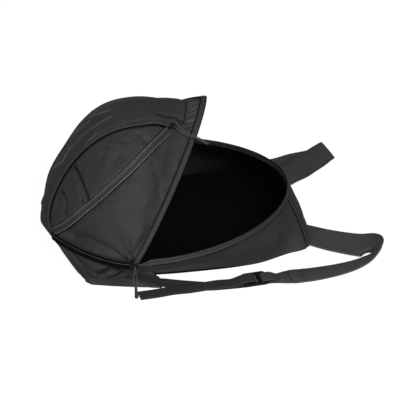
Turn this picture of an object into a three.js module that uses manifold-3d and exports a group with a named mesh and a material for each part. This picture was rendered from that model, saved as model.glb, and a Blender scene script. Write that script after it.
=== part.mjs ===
// Helmet backpack of thin coated nylon. It lies on its back panel with the main zip run down to the middle
// of both sides, and its lid is raised like a pram hood over the open tray.
// Millimetres, +Z up. X runs from the bottom of the bag to the shoulder-strap end, and Y across the bag.
// The origin is the middle of the back panel's flat underside.
import * as THREE from 'three';
import { mergeVertices } from 'three/addons/utils/BufferGeometryUtils.js';
import Module from 'manifold-3d';

// Driving dimensions, mm
const GAP = 0.3; // clearance between pieces that touch
const CLOTH = 2; // lined nylon wall
const BACK_PANEL = 6; // padded back panel
const HINGE = { x: -115, z: 64, halfWidth: 164 }; // the two main sliders, where every lid arch ends
const CROWN_SHARE = 0.3; // share of half an arch over which the flat of the crown runs out
const LID_START = 0.001; // place along the ridge where the lid begins, just above the closed zip
const LID_EDGE = 0.955; // share of half an arch at which the lid's cloth stops short of the slider
const MOUTH = 0.985; // place along the ridge where the lid's cloth ends under its zip tape
const TIP_SEAM = 0.925; // place along the ridge of the seam between crown and tip
const SEAM = 0.0022; // half the width of a seam's gap, as a share of half an arch
const RIM = { centreX: -61, halfLength: 229, halfWidth: 169.8, power: 1.9, z: 60, rise: 3 };
const TOP_SEAM = 1.8; // place on the tray's outline of the seams beside the top end wall
const BOTTOM_SEAM = 0.22; // place on the tray's outline of the seams beside the bottom end wall
const ZIP = { width: 9, thickness: 1.2, lift: 0.9 };
const RIM_TAPE = { height: 9, thickness: 1.4, lean: 0.3 };
const SLIDER = { length: 12, width: 9, plate: 2, bail: 8, bailWidth: 2.4, bar: 1.4, eye: 3.2, seat: 1.45 };
const CORD = 1.8; // pull cord's diameter
const GRIP = { length: 24, width: 5.6, neck: 3.6, thickness: 3 };
const WEBBING = { width: 20, thickness: 1.2 };
const STRAP = 4; // padded shoulder strap's thickness
const LOCK = { length: 34, width: 29, thickness: 3, slot: 22, corner: 4 };
const LOCK_PLACE = { x: 62, y: -171.5, z: 4.6, turned: -3.5 };
const WING = 2.6; // folded tab's thickness
const CENTRE = new THREE.Vector3(-60, 0, 60); // a point inside the bag, from which outward is told
// Facets: rows along each wall and columns across it, steps along each tape, cord and strap
const FACETS = {
  lidRows: 20, crownColumns: 6, tipRows: 6, tipColumns: 10, sideColumns: 8, gussetColumns: 5,
  wallRows: 28, endRows: 12, wallColumns: 5, panel: 36,
  mouth: 40, rim: 40, upperTape: 28, lowerTape: 24, closedZip: 20, cord: 18, strap: 2, wing: 9,
};

// Lid arches from the bottom seam to the mouth: top of the arch, fullness of its sides, flat of the crown
const ARCHES = [
  { along: 0.0, x: -217, z: 50, power: 1.35, flat: 0.05 },
  { along: 0.15, x: -200, z: 100, power: 1.4, flat: 0.1 },
  { along: 0.3, x: -171, z: 151, power: 1.32, flat: 0.1 },
  { along: 0.45, x: -136, z: 194, power: 1.34, flat: 0.11 },
  { along: 0.6, x: -95, z: 219, power: 1.36, flat: 0.12 },
  { along: 0.75, x: -48, z: 228, power: 1.31, flat: 0.09 },
  { along: 0.9, x: 2, z: 217, power: 1.24, flat: 0.03 },
  { along: 1.0, x: 41, z: 219, power: 1.2, flat: 0.0 },
];

// Tapes of the two expansion zips on half an arch, from the ridge at 0 to the slider at 1. The crown sits
// askew, further over the far side than the near one
const EXPANSION = [
  { along: 0.0, upper: 0.232, lower: 0.236, farUpper: 0.3, farLower: 0.304 },
  { along: 0.02, upper: 0.216, lower: 0.234, farUpper: 0.298, farLower: 0.318 },
  { along: 0.06, upper: 0.142, lower: 0.275, farUpper: 0.296, farLower: 0.36 },
  { along: 0.12, upper: 0.104, lower: 0.33, farUpper: 0.296, farLower: 0.41 },
  { along: 0.22, upper: 0.09, lower: 0.39, farUpper: 0.3, farLower: 0.46 },
  { along: 0.32, upper: 0.105, lower: 0.43, farUpper: 0.304, farLower: 0.49 },
  { along: 0.44, upper: 0.14, lower: 0.45, farUpper: 0.308, farLower: 0.5 },
  { along: 0.58, upper: 0.172, lower: 0.435, farUpper: 0.308, farLower: 0.485 },
  { along: 0.7, upper: 0.21, lower: 0.388, farUpper: 0.304, farLower: 0.44 },
  { along: 0.79, upper: 0.226, lower: 0.325, farUpper: 0.3, farLower: 0.38 },
  { along: 0.868, upper: 0.247, lower: 0.249, farUpper: 0.292, farLower: 0.294 },
  { along: 0.93, upper: 0.236, lower: 0.236, farUpper: 0.285, farLower: 0.285 },
  { along: 1.0, upper: 0.246, lower: 0.246, farUpper: 0.28, farLower: 0.28 },
];
const GUSSET_ENDS = [0.022, 0.856]; // where the gusset has narrowed to its seams
const EXPANSION_SLIDER = 0.868;
// Pull of each slider: where its grip begins and ends, from the slider, mm
const PULLS = {
  main: { start: new THREE.Vector3(0, -6, -29), end: new THREE.Vector3(1, -5, -53) },
  expansion_near: { start: new THREE.Vector3(25, -20, -10), end: new THREE.Vector3(43, -31, -18) },
  expansion_far: { start: new THREE.Vector3(-11, -24, -14), end: new THREE.Vector3(-21, -39, -29.5) },
};

// Folds of the lid, on half an arch as above: where each begins and ends, its width and its height, mm
const LID_FOLDS = [
  { along: 0.3, across: 0.17, toAlong: 0.29, toAcross: 0.37, width: 9, height: -5 },
  { along: 0.19, across: 0.14, toAlong: 0.19, toAcross: 0.33, width: 10, height: -4 },
  { along: 0.24, across: 0.16, toAlong: 0.24, toAcross: 0.34, width: 14, height: 4 },
  { along: 0.5, across: 0.22, toAlong: 0.48, toAcross: 0.4, width: 24, height: 4 },
  { along: 0.73, across: 0.27, toAlong: 0.76, toAcross: 0.31, width: 9, height: -3 },
  { along: 0.8, across: 0.38, toAlong: 0.84, toAcross: 0.54, width: 14, height: -4 },
  { along: 0.62, across: 0.55, toAlong: 0.66, toAcross: 0.68, width: 20, height: 5 },
  { along: 0.06, across: 0.34, toAlong: 0.1, toAcross: 0.7, width: 12, height: 4 },
  { along: 0.16, across: 0.42, toAlong: 0.2, toAcross: 0.72, width: 14, height: -4 },
  { along: 0.78, across: 0.17, toAlong: 0.9, toAcross: 0.22, width: 8, height: -4 },
  { along: 0.95, across: 0.02, toAlong: 0.955, toAcross: 0.2, width: 8, height: -3 },
];
const FAR_FOLDS = LID_FOLDS.slice(-1); // the far side is smooth but for the tip
const FOLD_REACH = { along: 330, across: 230 }; // length along the ridge and round half an arch, mm

// Outline of the back panel from the middle of the bottom end (0) past the slider (1) to the top end (2)
const OUTLINE = [
  { at: 0.0, x: -181, y: 0, bulge: 4 },
  { at: 0.22, x: -180, y: -56, bulge: 3 },
  { at: 0.45, x: -174, y: -95, bulge: 2 },
  { at: 0.65, x: -151, y: -106, bulge: 3 },
  { at: 1.0, x: -112, y: -107, bulge: 2 },
  { at: 1.25, x: -30, y: -122, bulge: 4 },
  { at: 1.5, x: 70, y: -131.5, bulge: 5 },
  { at: 1.7, x: 132, y: -118.5, bulge: 4 },
  { at: 1.8, x: 168, y: -108, bulge: 3 },
  { at: 1.9, x: 185, y: -58, bulge: 3 },
  { at: 2.0, x: 193, y: 0, bulge: 3 },
];

// Folds of the side walls: place on the outline, share of the wall's height, width and height, mm
const WALL_FOLDS = [
  { at: 0.5, up: 0.2, toAt: 0.86, toUp: 0.8, width: 9, height: -6 },
  { at: 0.66, up: 0.1, toAt: 0.98, toUp: 0.72, width: 9, height: 5 },
  { at: 0.8, up: 0.15, toAt: 1.02, toUp: 0.45, width: 8, height: -5 },
  { at: 1.08, up: 0.15, toAt: 1.12, toUp: 0.85, width: 14, height: -3 },
  { at: 1.3, up: 0.5, toAt: 1.62, toUp: 0.45, width: 16, height: 3 },
];
const WALL_REACH = { at: 250, up: 72 };

// Shoulder straps: middle line, direction of travel, tilt of the strap about it, and width
const NEAR_STRAP = [
  { x: 181, y: -88.5, z: 2.6, heading: -25.7, roll: 0, width: 51 },
  { x: 203, y: -108.6, z: 3.2, heading: -27, roll: 1, width: 52 },
  { x: 226.5, y: -127.3, z: 4.6, heading: -29.5, roll: 3, width: 52 },
  { x: 240, y: -138.5, z: 7, heading: -36, roll: 9, width: 49 },
  { x: 249.5, y: -148.5, z: 12, heading: -55, roll: 27, width: 44 },
  { x: 253.5, y: -158.5, z: 17, heading: -105, roll: 50, width: 39 },
  { x: 254.5, y: -167.5, z: 18.2, heading: -160, roll: 56, width: 37 },
  { x: 249, y: -174, z: 15.5, heading: -181, roll: 44, width: 35 },
  { x: 236, y: -178.5, z: 10.5, heading: -185, roll: 28, width: 33 },
  { x: 215, y: -182.3, z: 6.8, heading: -184, roll: 17, width: 31 },
  { x: 186, y: -183.4, z: 4.4, heading: -181, roll: 8, width: 30 },
  { x: 150, y: -181.4, z: 2.8, heading: -180, roll: 1.5, width: 30 },
  { x: 122, y: -178, z: 2.5, heading: -181, roll: 0, width: 31 },
  { x: 110, y: -176.7, z: 2.5, heading: -182, roll: 0, width: 28 },
  { x: 96.2, y: -175.4, z: 2.5, heading: -183, roll: 0, width: 21 },
];
const FAR_STRAP = [
  { x: 189, y: -77, z: 2.6, heading: -24.5, roll: 0, width: 52 },
  { x: 206, y: -81, z: 6.4, heading: -21, roll: 0, width: 52 },
  { x: 226.7, y: -88.2, z: 7.4, heading: -20, roll: 0, width: 52 },
  { x: 245.6, y: -100.3, z: 7.6, heading: -22, roll: 0, width: 53 },
  { x: 267.6, y: -113.2, z: 7.6, heading: -18, roll: 0, width: 53 },
  { x: 288, y: -126.8, z: 7.4, heading: -9, roll: 0, width: 54 },
  { x: 301.5, y: -136.8, z: 5.2, heading: -2, roll: 0, width: 55 },
  { x: 293, y: -131.5, z: 2.6, heading: -3, roll: 0, width: 47 },
  { x: 270, y: -127.5, z: 2.5, heading: -4, roll: 0, width: 44 },
  { x: 235, y: -126.5, z: 2.5, heading: -3, roll: 0, width: 41 },
  { x: 200, y: -122.5, z: 2.5, heading: 4, roll: 0, width: 36 },
  { x: 172, y: -129, z: 2.5, heading: 22, roll: 0, width: 32 },
  { x: 148, y: -146, z: 2.5, heading: 38, roll: 0, width: 31 },
  { x: 126, y: -165, z: 2.5, heading: 34, roll: 0, width: 31 },
  { x: 112, y: -173, z: 2.5, heading: 18, roll: 0, width: 28 },
  { x: 96.2, y: -175.4, z: 2.5, heading: -3, roll: 0, width: 21 },
];

// Lower webbing: from the tab to the buckle, up over the buckle's middle bar, and back as a free tail
const LOWER_WEBBING = [
  { x: -68.3, y: -134.8, z: 1.6, heading: -9 },
  { x: -50, y: -143, z: 1, heading: -24 },
  { x: -28, y: -153, z: 1, heading: -24 },
  { x: -6, y: -162, z: 1, heading: -17 },
  { x: 18, y: -166.5, z: 1, heading: -9 },
  { x: 42, y: -169.8, z: 1, heading: -5 },
  { x: 56, y: -171.1, z: 1.2, heading: -3.5 },
  { x: 60.6, y: -171.4, z: 2.4, heading: -3.5 },
  { x: 62.3, y: -171.5, z: 5.6, heading: -3.5 },
  { x: 61, y: -171.4, z: 8.6, heading: -3.5 },
  { x: 57.5, y: -171.2, z: 9.8, heading: -3.5 },
  { x: 51, y: -170.9, z: 9.9, heading: -3.5 },
  { x: 43, y: -170.4, z: 9, heading: -3 },
  { x: 35, y: -169.6, z: 6.2, heading: -3 },
  { x: 27, y: -168, z: 3.6, heading: 0 },
  { x: 10, y: -164, z: 2.8, heading: 4 },
  { x: -10, y: -163.2, z: 2.8, heading: 2 },
  { x: -36, y: -162, z: 2.8, heading: 4 },
  { x: -60, y: -158.8, z: 2.6, heading: 6 },
  { x: -80, y: -157, z: 1.3, heading: 5 },
  { x: -107, y: -154.8, z: 1, heading: 4 },
];
// Webbing loop round the buckle's end bar
const BUCKLE_LOOP = [
  { x: 95.6, y: -175.1, z: 1.3, heading: -3.5 },
  { x: 86, y: -174.2, z: 2.6, heading: -3.5 },
  { x: 76, y: -173.2, z: 3, heading: -3.5 },
  { x: 72, y: -172.8, z: 4.3, heading: -3.5 },
  { x: 70.9, y: -172.7, z: 6.2, heading: -3.5 },
  { x: 72.3, y: -172.8, z: 8, heading: -3.5 },
  { x: 76.5, y: -173.2, z: 8.8, heading: -3.5 },
  { x: 85, y: -174.1, z: 8.5, heading: -3.5 },
  { x: 90.5, y: -174.6, z: 6.2, heading: -3.5 },
  { x: 95.6, y: -175.1, z: 3.7, heading: -3.5 },
];
// Cross slots of the ladder lock, from its lip to its end bar
const LOCK_SLOTS = [
  { from: -13, to: -7.6 },
  { from: -1.7, to: 1.7 },
  { from: 7.9, to: 11.4 },
];
// Sewn tab at the bag's bottom corner: its outer corners, the inner edge follows the back panel
const WING_CORNERS = [
  { x: -67.5, y: -121 },
  { x: -70.5, y: -147.5 },
  { x: -109, y: -134 },
  { x: -139, y: -122.5 },
  { x: -168, y: -110 },
  { x: -178, y: -97.5 },
];

// Finishes
const finish = (color, roughness) => new THREE.MeshStandardMaterial({ color, roughness, metalness: 0 });
const NYLON = finish(0x2b2b2d, 0.62);
const TAPE = finish(0x1d1d1f, 0.7);
const STRAPPING = finish(0x2d2d2a, 0.75);
const PLASTIC = finish(0x161617, 0.4);
const CORDING = finish(0x1a1a1b, 0.8);

// Every column of a table at one place along its key column, as a smooth curve through the rows
function tableAt(rows, key, at) {
  let i = 0;
  while (i < rows.length - 2 && at > rows[i + 1][key]) i += 1;
  const [a, b] = [rows[i], rows[i + 1]];
  const before = rows[Math.max(i - 1, 0)];
  const after = rows[Math.min(i + 2, rows.length - 1)];
  const step = b[key] - a[key];
  const s = (at - a[key]) / step;
  const value = {};
  for (const column of Object.keys(a)) {
    const slopeA = (b[column] - before[column]) / (b[key] - before[key]);
    const slopeB = (after[column] - a[column]) / (after[key] - a[key]);
    value[column] = (2 * s ** 3 - 3 * s ** 2 + 1) * a[column] + (s ** 3 - 2 * s ** 2 + s) * step * slopeA
      + (3 * s ** 2 - 2 * s ** 3) * b[column] + (s ** 3 - s ** 2) * step * slopeB;
  }
  return value;
}

// Height of all folds at a place: each is a soft ridge or valley along the line between its two ends
function foldHeight(folds, [first, second], reach, p, q) {
  const capital = (word) => `to${word[0].toUpperCase()}${word.slice(1)}`;
  let height = 0;
  for (const fold of folds) {
    const run = new THREE.Vector2((fold[capital(first)] - fold[first]) * reach[first],
      (fold[capital(second)] - fold[second]) * reach[second]);
    const here = new THREE.Vector2((p - fold[first]) * reach[first], (q - fold[second]) * reach[second]);
    const share = THREE.MathUtils.clamp(here.dot(run) / run.lengthSq(), 0, 1);
    const distance = here.sub(run.multiplyScalar(share)).length();
    height += fold.height * Math.exp(-((distance / fold.width) ** 2));
  }
  return height;
}

// Unit normal of a surface of two parameters, turned away from the inside of the bag
function outwardNormal(surface, p, q) {
  const step = 1e-3;
  const alongP = surface(p + step, q).sub(surface(p - step, q));
  const alongQ = surface(p, q + step).sub(surface(p, q - step));
  const normal = alongP.cross(alongQ).normalize();
  return normal.dot(surface(p, q).sub(CENTRE)) < 0 ? normal.negate() : normal;
}

// A smooth lid: arches through the ridge, all springing from the two main sliders
function lidArch(along, across) {
  const arch = tableAt(ARCHES, 'along', along);
  const part = Math.min(Math.abs(across), 1);
  const angle = (1 - part) * Math.PI / 2;
  const rise = Math.sin(angle) ** (2 / arch.power);
  const spread = Math.cos(angle) ** (2 / arch.power) * (1 - arch.flat)
    + arch.flat * Math.sin(Math.min(1, part / CROWN_SHARE) * Math.PI / 2);
  return new THREE.Vector3(HINGE.x + (arch.x - HINGE.x) * rise,
    Math.sign(across) * HINGE.halfWidth * spread, HINGE.z + (arch.z - HINGE.z) * rise);
}

function lidSkin(along, across, side = across > 0 ? 'far' : 'near') {
  const folds = side === 'far' ? FAR_FOLDS : LID_FOLDS;
  const height = foldHeight(folds, ['along', 'across'], FOLD_REACH, along, Math.abs(across));
  return lidArch(along, across).addScaledVector(outwardNormal(lidArch, along, across), height);
}

// Upper edge of the tray: the closed zip up to the slider, then an oval rim round the top end
function trayRim(at) {
  if (at <= 1) return lidArch(0, -at).add(new THREE.Vector3(0, 0, -GAP));
  const startCosine = -(((RIM.centreX - HINGE.x) / RIM.halfLength) ** (RIM.power / 2));
  const angle = Math.acos(startCosine) * (2 - at);
  const cosine = Math.cos(angle);
  const x = RIM.centreX + RIM.halfLength * Math.sign(cosine) * Math.abs(cosine) ** (2 / RIM.power);
  const y = -RIM.halfWidth * Math.sin(angle) ** (2 / RIM.power);
  return new THREE.Vector3(x, y, RIM.z + RIM.rise * (2 - at) ** 4);
}

// Wall of the tray from the back panel (up 0) to the rim (up 1), bellied outward; y flips past either end
function traySkin(at, up) {
  const place = at < 0 ? -at : at > 2 ? 4 - at : at;
  const base = tableAt(OUTLINE, 'at', place);
  const point = new THREE.Vector3(base.x, base.y, BACK_PANEL + GAP).lerp(trayRim(place), up);
  const away = new THREE.Vector3(point.x - CENTRE.x, point.y, 0).normalize();
  const folds = foldHeight(WALL_FOLDS, ['at', 'up'], WALL_REACH, place, up) * Math.sin(Math.PI * up);
  point.addScaledVector(away, base.bulge * Math.sin(Math.PI * up) + folds);
  if (at < 0 || at > 2) point.y *= -1;
  return point;
}

// Closed body from corners and triangles, its faces turned outward
function closedBody(points, triangles) {
  let volume = 0;
  for (const [a, b, c] of triangles) volume += points[a].dot(points[b].clone().cross(points[c]));
  const index = volume > 0 ? triangles.flat() : triangles.flatMap(([a, b, c]) => [a, c, b]);
  const body = new THREE.BufferGeometry().setFromPoints(points).setIndex(index);
  body.computeVertexNormals();
  return body;
}

// Cloth wall: a grid of points on a surface, a second grid one cloth thickness inside it, and a strip
// round the edge. stations are the values of the first parameter, a row each, and spread(p, share) gives
// the second one at a share of the columns. level(p, q) is how far the wall's thickness may lean up or
// down there: walls that share an edge both take their thickness level at it.
function clothWall(surface, stations, columns, spread, level) {
  const rows = stations.length - 1;
  const outer = [];
  const inner = [];
  for (const p of stations) {
    for (let c = 0; c <= columns; c += 1) {
      const q = spread(p, c / columns);
      const point = surface(p, q);
      const normal = outwardNormal(surface, p, q);
      normal.z *= level(p, q);
      outer.push(point);
      inner.push(point.clone().addScaledVector(normal.normalize(), -CLOTH));
    }
  }
  const wide = columns + 1;
  const inside = outer.length;
  const triangles = [];
  const quad = (a, b, c, d) => triangles.push([a, b, c], [a, c, d]);
  for (let r = 0; r < rows; r += 1) {
    for (let c = 0; c < columns; c += 1) {
      const a = r * wide + c;
      quad(a, a + 1, a + wide + 1, a + wide);
      quad(inside + a, inside + a + wide, inside + a + wide + 1, inside + a + 1);
    }
  }
  const edge = [];
  for (let c = 0; c < columns; c += 1) edge.push(c);
  for (let r = 0; r < rows; r += 1) edge.push(r * wide + columns);
  for (let c = columns; c > 0; c -= 1) edge.push(rows * wide + c);
  for (let r = rows; r > 0; r -= 1) edge.push(r * wide);
  edge.forEach((a, k) => {
    const b = edge[(k + 1) % edge.length];
    quad(a, inside + a, inside + b, b);
  });
  return closedBody([...outer, ...inner], triangles);
}

// Four-cornered sections joined one to the next, closed at both ends
function bandThrough(sections) {
  const triangles = [];
  sections.slice(1).forEach((section, k) => {
    for (let side = 0; side < 4; side += 1) {
      const a = 4 * k + side;
      const b = 4 * k + ((side + 1) % 4);
      triangles.push([a, b, b + 4], [a, b + 4, a + 4]);
    }
  });
  const end = 4 * (sections.length - 1);
  triangles.push([0, 2, 1], [0, 3, 2], [end, end + 1, end + 2], [end, end + 2, end + 3]);
  return closedBody(sections.flat(), triangles);
}

// Rectangle about a point: half its width along one direction, from low to high along the other
function section(point, side, halfWidth, out, low, high) {
  const corner = (w, h) => point.clone().addScaledVector(side, w).addScaledVector(out, h);
  return [corner(-halfWidth, low), corner(halfWidth, low), corner(halfWidth, high),
    corner(-halfWidth, high)];
}

// Zip tape lying on a surface along path(t), t from 0 to 1, which gives the surface's two parameters
function zipTape(surface, path, steps, lift = ZIP.lift) {
  const sections = [];
  const ahead = 0.004;
  for (let k = 0; k <= steps; k += 1) {
    const t = k / steps;
    const out = outwardNormal(surface, ...path(t));
    const run = surface(...path(t + ahead)).sub(surface(...path(t - ahead)));
    const side = run.cross(out).normalize();
    sections.push(section(surface(...path(t)), side, ZIP.width / 2, out, lift, lift + ZIP.thickness));
  }
  return bandThrough(sections);
}

// Strap or webbing through the rows of a table: place, direction of travel, tilt about it and width
function strapThrough(rows, thickness) {
  const numbered = rows.map((row, place) => ({ roll: 0, width: WEBBING.width, ...row, place }));
  const pointAt = ({ x, y, z }) => new THREE.Vector3(x, y, z);
  const last = rows.length - 1;
  const sections = [];
  for (let k = 0; k <= last * FACETS.strap; k += 1) {
    const place = k / FACETS.strap;
    const row = tableAt(numbered, 'place', place);
    const heading = THREE.MathUtils.degToRad(row.heading);
    const roll = THREE.MathUtils.degToRad(row.roll);
    const side = new THREE.Vector3(-Math.sin(heading) * Math.cos(roll), Math.cos(heading) * Math.cos(roll),
      Math.sin(roll));
    const ahead = pointAt(tableAt(numbered, 'place', Math.min(place + 0.05, last)));
    const run = ahead.sub(pointAt(tableAt(numbered, 'place', Math.max(place - 0.05, 0))));
    const out = run.cross(side).normalize();
    sections.push(section(pointAt(row), side, row.width / 2, out, -thickness / 2, thickness / 2));
  }
  return bandThrough(sections);
}

// Round cord along points
function cordThrough(points, steps) {
  const circle = new THREE.Shape();
  circle.absarc(0, 0, CORD / 2, 0, 2 * Math.PI);
  const extrudePath = new THREE.CatmullRomCurve3(points);
  return new THREE.ExtrudeGeometry(circle, { steps, curveSegments: 3, extrudePath });
}

// Rectangle with round corners, its middle at x, y
function roundedRectangle(width, height, corner, x = 0, y = 0) {
  const shape = new THREE.Shape();
  const [w, h] = [width / 2 - corner, height / 2 - corner];
  shape.absarc(x + w, y + h, corner, 0, Math.PI / 2);
  shape.absarc(x - w, y + h, corner, Math.PI / 2, Math.PI);
  shape.absarc(x - w, y - h, corner, Math.PI, 1.5 * Math.PI);
  shape.absarc(x + w, y - h, corner, 1.5 * Math.PI, 2 * Math.PI);
  return shape;
}

function slab(shape, depth) {
  return new THREE.ExtrudeGeometry(shape, { depth, bevelEnabled: false, curveSegments: 2 });
}

// Joining of two closed bodies into one
const wasm = await Module();
wasm.setup();
function solidOf(geometry) {
  const bare = geometry.clone();
  bare.deleteAttribute('normal');
  bare.deleteAttribute('uv');
  const merged = mergeVertices(bare, 1e-4);
  const vertProperties = new Float32Array(merged.attributes.position.array);
  return new wasm.Manifold(new wasm.Mesh({ numProp: 3, vertProperties,
    triVerts: new Uint32Array(merged.index.array) }));
}
function fused(first, second) {
  const mesh = solidOf(first).add(solidOf(second)).getMesh();
  const body = new THREE.BufferGeometry();
  body.setAttribute('position', new THREE.BufferAttribute(new Float32Array(mesh.vertProperties), 3));
  body.setIndex(new THREE.BufferAttribute(new Uint32Array(mesh.triVerts), 1));
  body.computeVertexNormals();
  return body;
}

const bag = new THREE.Group();
function piece(parent, name, geometry, material) {
  const mesh = new THREE.Mesh(geometry, material);
  mesh.name = name;
  parent.add(mesh);
  return mesh;
}

// Rows of a wall: evenly spaced, or at places shared by the lid's panels, closest at the bottom seam
function evenly(from, to, count) {
  return Array.from({ length: count + 1 }, (_, k) => from + (to - from) * k / count);
}
const LID_CROWDING = 1.25; // how much closer the lid's rows lie at the bottom seam
const LID_ROWS = evenly(0, 1, FACETS.lidRows).map((share) => share ** LID_CROWDING);
const lidStations = (from, to) => [from, ...LID_ROWS.filter((a) => a > from + 0.006 && a < to - 0.006), to];
const upTheWall = (at, share) => share;

// Thickness directions: level along the seam between lid and tray, free elsewhere
const lidLevel = (along) => Math.min(1, along / 0.08);
const trayLevel = (at, up) => Math.min(1, (1 - up) / 0.25, up / 0.25);
function tapesAt(along, side) {
  const row = tableAt(EXPANSION, 'along', along);
  const [upper, lower] = side === 'far' ? [row.farUpper, row.farLower] : [row.upper, row.lower];
  return { upper, lower: Math.max(lower, upper) };
}

// Back panel: a flat slab of the outline, its far half the mirror of the near one
function backPanel() {
  const half = [];
  const steps = FACETS.panel;
  for (let k = 0; k <= steps; k += 1) {
    const { x, y } = tableAt(OUTLINE, 'at', 2 * k / steps);
    half.push(new THREE.Vector2(x, y));
  }
  const mirrored = half.slice(1, -1).reverse().map(({ x, y }) => new THREE.Vector2(x, -y));
  return slab(new THREE.Shape([...half, ...mirrored]), BACK_PANEL);
}

// Pieces on the middle of the bag, from the near half to the far half
function middlePieces(parent) {
  piece(parent, 'back_panel', backPanel(), NYLON);
  const endWall = (from, to) => clothWall(traySkin, evenly(from, to, FACETS.endRows), FACETS.wallColumns,
    upTheWall, trayLevel);
  piece(parent, 'top_end_wall', endWall(TOP_SEAM + 2 * SEAM, 4 - TOP_SEAM - 2 * SEAM), NYLON);
  piece(parent, 'bottom_end_wall', endWall(SEAM - BOTTOM_SEAM, BOTTOM_SEAM - SEAM), NYLON);
  const overRidge = (along, share) => THREE.MathUtils.lerp(SEAM - tapesAt(along, 'near').upper,
    tapesAt(along, 'far').upper - SEAM, share);
  const band = (stations, columns) => clothWall(lidSkin, stations, columns, overRidge, lidLevel);
  piece(parent, 'crown_panel', band(lidStations(LID_START, TIP_SEAM - SEAM), FACETS.crownColumns), NYLON);
  const tipRows = evenly(TIP_SEAM + SEAM, MOUTH, FACETS.tipRows);
  piece(parent, 'tip_panel', band(tipRows, FACETS.tipColumns), NYLON);
  const mouthEnd = 0.93;
  const mouthPath = (t) => [MOUTH, mouthEnd * (2 * t - 1)];
  piece(parent, 'mouth_tape', zipTape(lidSkin, mouthPath, FACETS.mouth, ZIP.lift + GAP), TAPE);
  const rimSections = [];
  const rimStart = 1.04;
  for (let k = 0; k <= FACETS.rim; k += 1) {
    const at = rimStart + (4 - 2 * rimStart) * k / FACETS.rim;
    const point = traySkin(at, 1);
    const inward = new THREE.Vector3(CENTRE.x - point.x, -point.y, 0).normalize();
    const up = new THREE.Vector3(0, 0, 1).addScaledVector(inward, RIM_TAPE.lean).normalize();
    const middle = point.addScaledVector(up, GAP + RIM_TAPE.height / 2).addScaledVector(inward, GAP);
    rimSections.push(section(middle, up, RIM_TAPE.height / 2, inward, 0, RIM_TAPE.thickness));
  }
  piece(parent, 'rim_tape', bandThrough(rimSections), TAPE);
}

// Panels and zip tapes of one side, modelled on the near side
function sidePanels(parent, side) {
  const wallFrom = BOTTOM_SEAM + SEAM;
  const wallTo = TOP_SEAM - 2 * SEAM;
  const wallStations = evenly(wallFrom, wallTo, FACETS.wallRows);
  const sideWall = clothWall(traySkin, wallStations, FACETS.wallColumns, upTheWall, trayLevel);
  piece(parent, `side_wall_${side}`, sideWall, NYLON);
  const { lerp } = THREE.MathUtils;
  const skin = (along, across) => lidSkin(along, across, side);
  const belowTape = (along, share) => -lerp(LID_EDGE, tapesAt(along, side).lower + SEAM, share);
  const sideStations = lidStations(LID_START, MOUTH);
  const lidSide = clothWall(skin, sideStations, FACETS.sideColumns, belowTape, lidLevel);
  piece(parent, `lid_side_${side}`, lidSide, NYLON);
  const betweenTapes = (along, share) => {
    const { upper, lower } = tapesAt(along, side);
    return -lerp(lower - SEAM, upper + SEAM, share);
  };
  const gussetStations = lidStations(...GUSSET_ENDS);
  const gusset = clothWall(skin, gussetStations, FACETS.gussetColumns, betweenTapes, lidLevel);
  piece(parent, `gusset_${side}`, gusset, NYLON);
  const [tapeStart, tapeEnd] = [0.035, 0.825];
  const along = (t) => tapeStart + (tapeEnd - tapeStart) * t;
  const upperPath = (t) => [along(t), -tapesAt(along(t), side).upper];
  const upperTape = zipTape(skin, upperPath, FACETS.upperTape);
  piece(parent, `upper_expansion_tape_${side}`, upperTape, TAPE);
  const lowerPath = (t) => [along(t), -tapesAt(along(t), side).lower];
  const lowerTape = zipTape(skin, lowerPath, FACETS.lowerTape);
  piece(parent, `lower_expansion_tape_${side}`, lowerTape, TAPE);
  const closed = (at, up) => (up <= 1 ? traySkin(at, up) : skin(up - 1, -at));
  const [closedStart, closedEnd] = [0.26, 0.93];
  const closedPath = (t) => [closedStart + (closedEnd - closedStart) * t, 1];
  const closedZip = zipTape(closed, closedPath, FACETS.closedZip, ZIP.lift + GAP);
  piece(parent, `closed_zip_${side}`, closedZip, TAPE);
}

// Zip slider: a plate on the zip with a bail over it. Local X runs along the zip and Z out from the cloth
function sliderBody() {
  const plate = slab(roundedRectangle(SLIDER.length, SLIDER.width, 2), SLIDER.plate);
  const height = SLIDER.plate + SLIDER.eye + SLIDER.bar;
  const profile = new THREE.Shape();
  profile.moveTo(-SLIDER.bail / 2, SLIDER.plate / 2);
  profile.lineTo(SLIDER.bail / 2, SLIDER.plate / 2);
  profile.lineTo(SLIDER.bail / 2 - SLIDER.bar / 2, height);
  profile.lineTo(-SLIDER.bail / 2 + SLIDER.bar / 2, height);
  profile.closePath();
  const eyeWidth = SLIDER.bail - 2 * SLIDER.bar;
  profile.holes.push(roundedRectangle(eyeWidth, SLIDER.eye, 0.8, 0, SLIDER.plate + SLIDER.eye / 2));
  const bail = slab(profile, SLIDER.bailWidth);
  bail.translate(0, 0, -SLIDER.bailWidth / 2);
  bail.rotateX(Math.PI / 2);
  return fused(plate, bail);
}

// Moulded pull grip, hanging along local -Y from its neck at the origin
function gripBody() {
  const outline = new THREE.Shape();
  const [neck, wide, length] = [GRIP.neck / 2, GRIP.width / 2, GRIP.length];
  outline.moveTo(-neck, 0);
  outline.quadraticCurveTo(-neck, -length / 2, -wide, -length + wide);
  outline.absarc(0, -length + wide, wide, Math.PI, 2 * Math.PI);
  outline.quadraticCurveTo(neck, -length / 2, neck, 0);
  outline.closePath();
  const body = slab(outline, GRIP.thickness);
  body.translate(0, 0, -GRIP.thickness / 2);
  return body;
}

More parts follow.
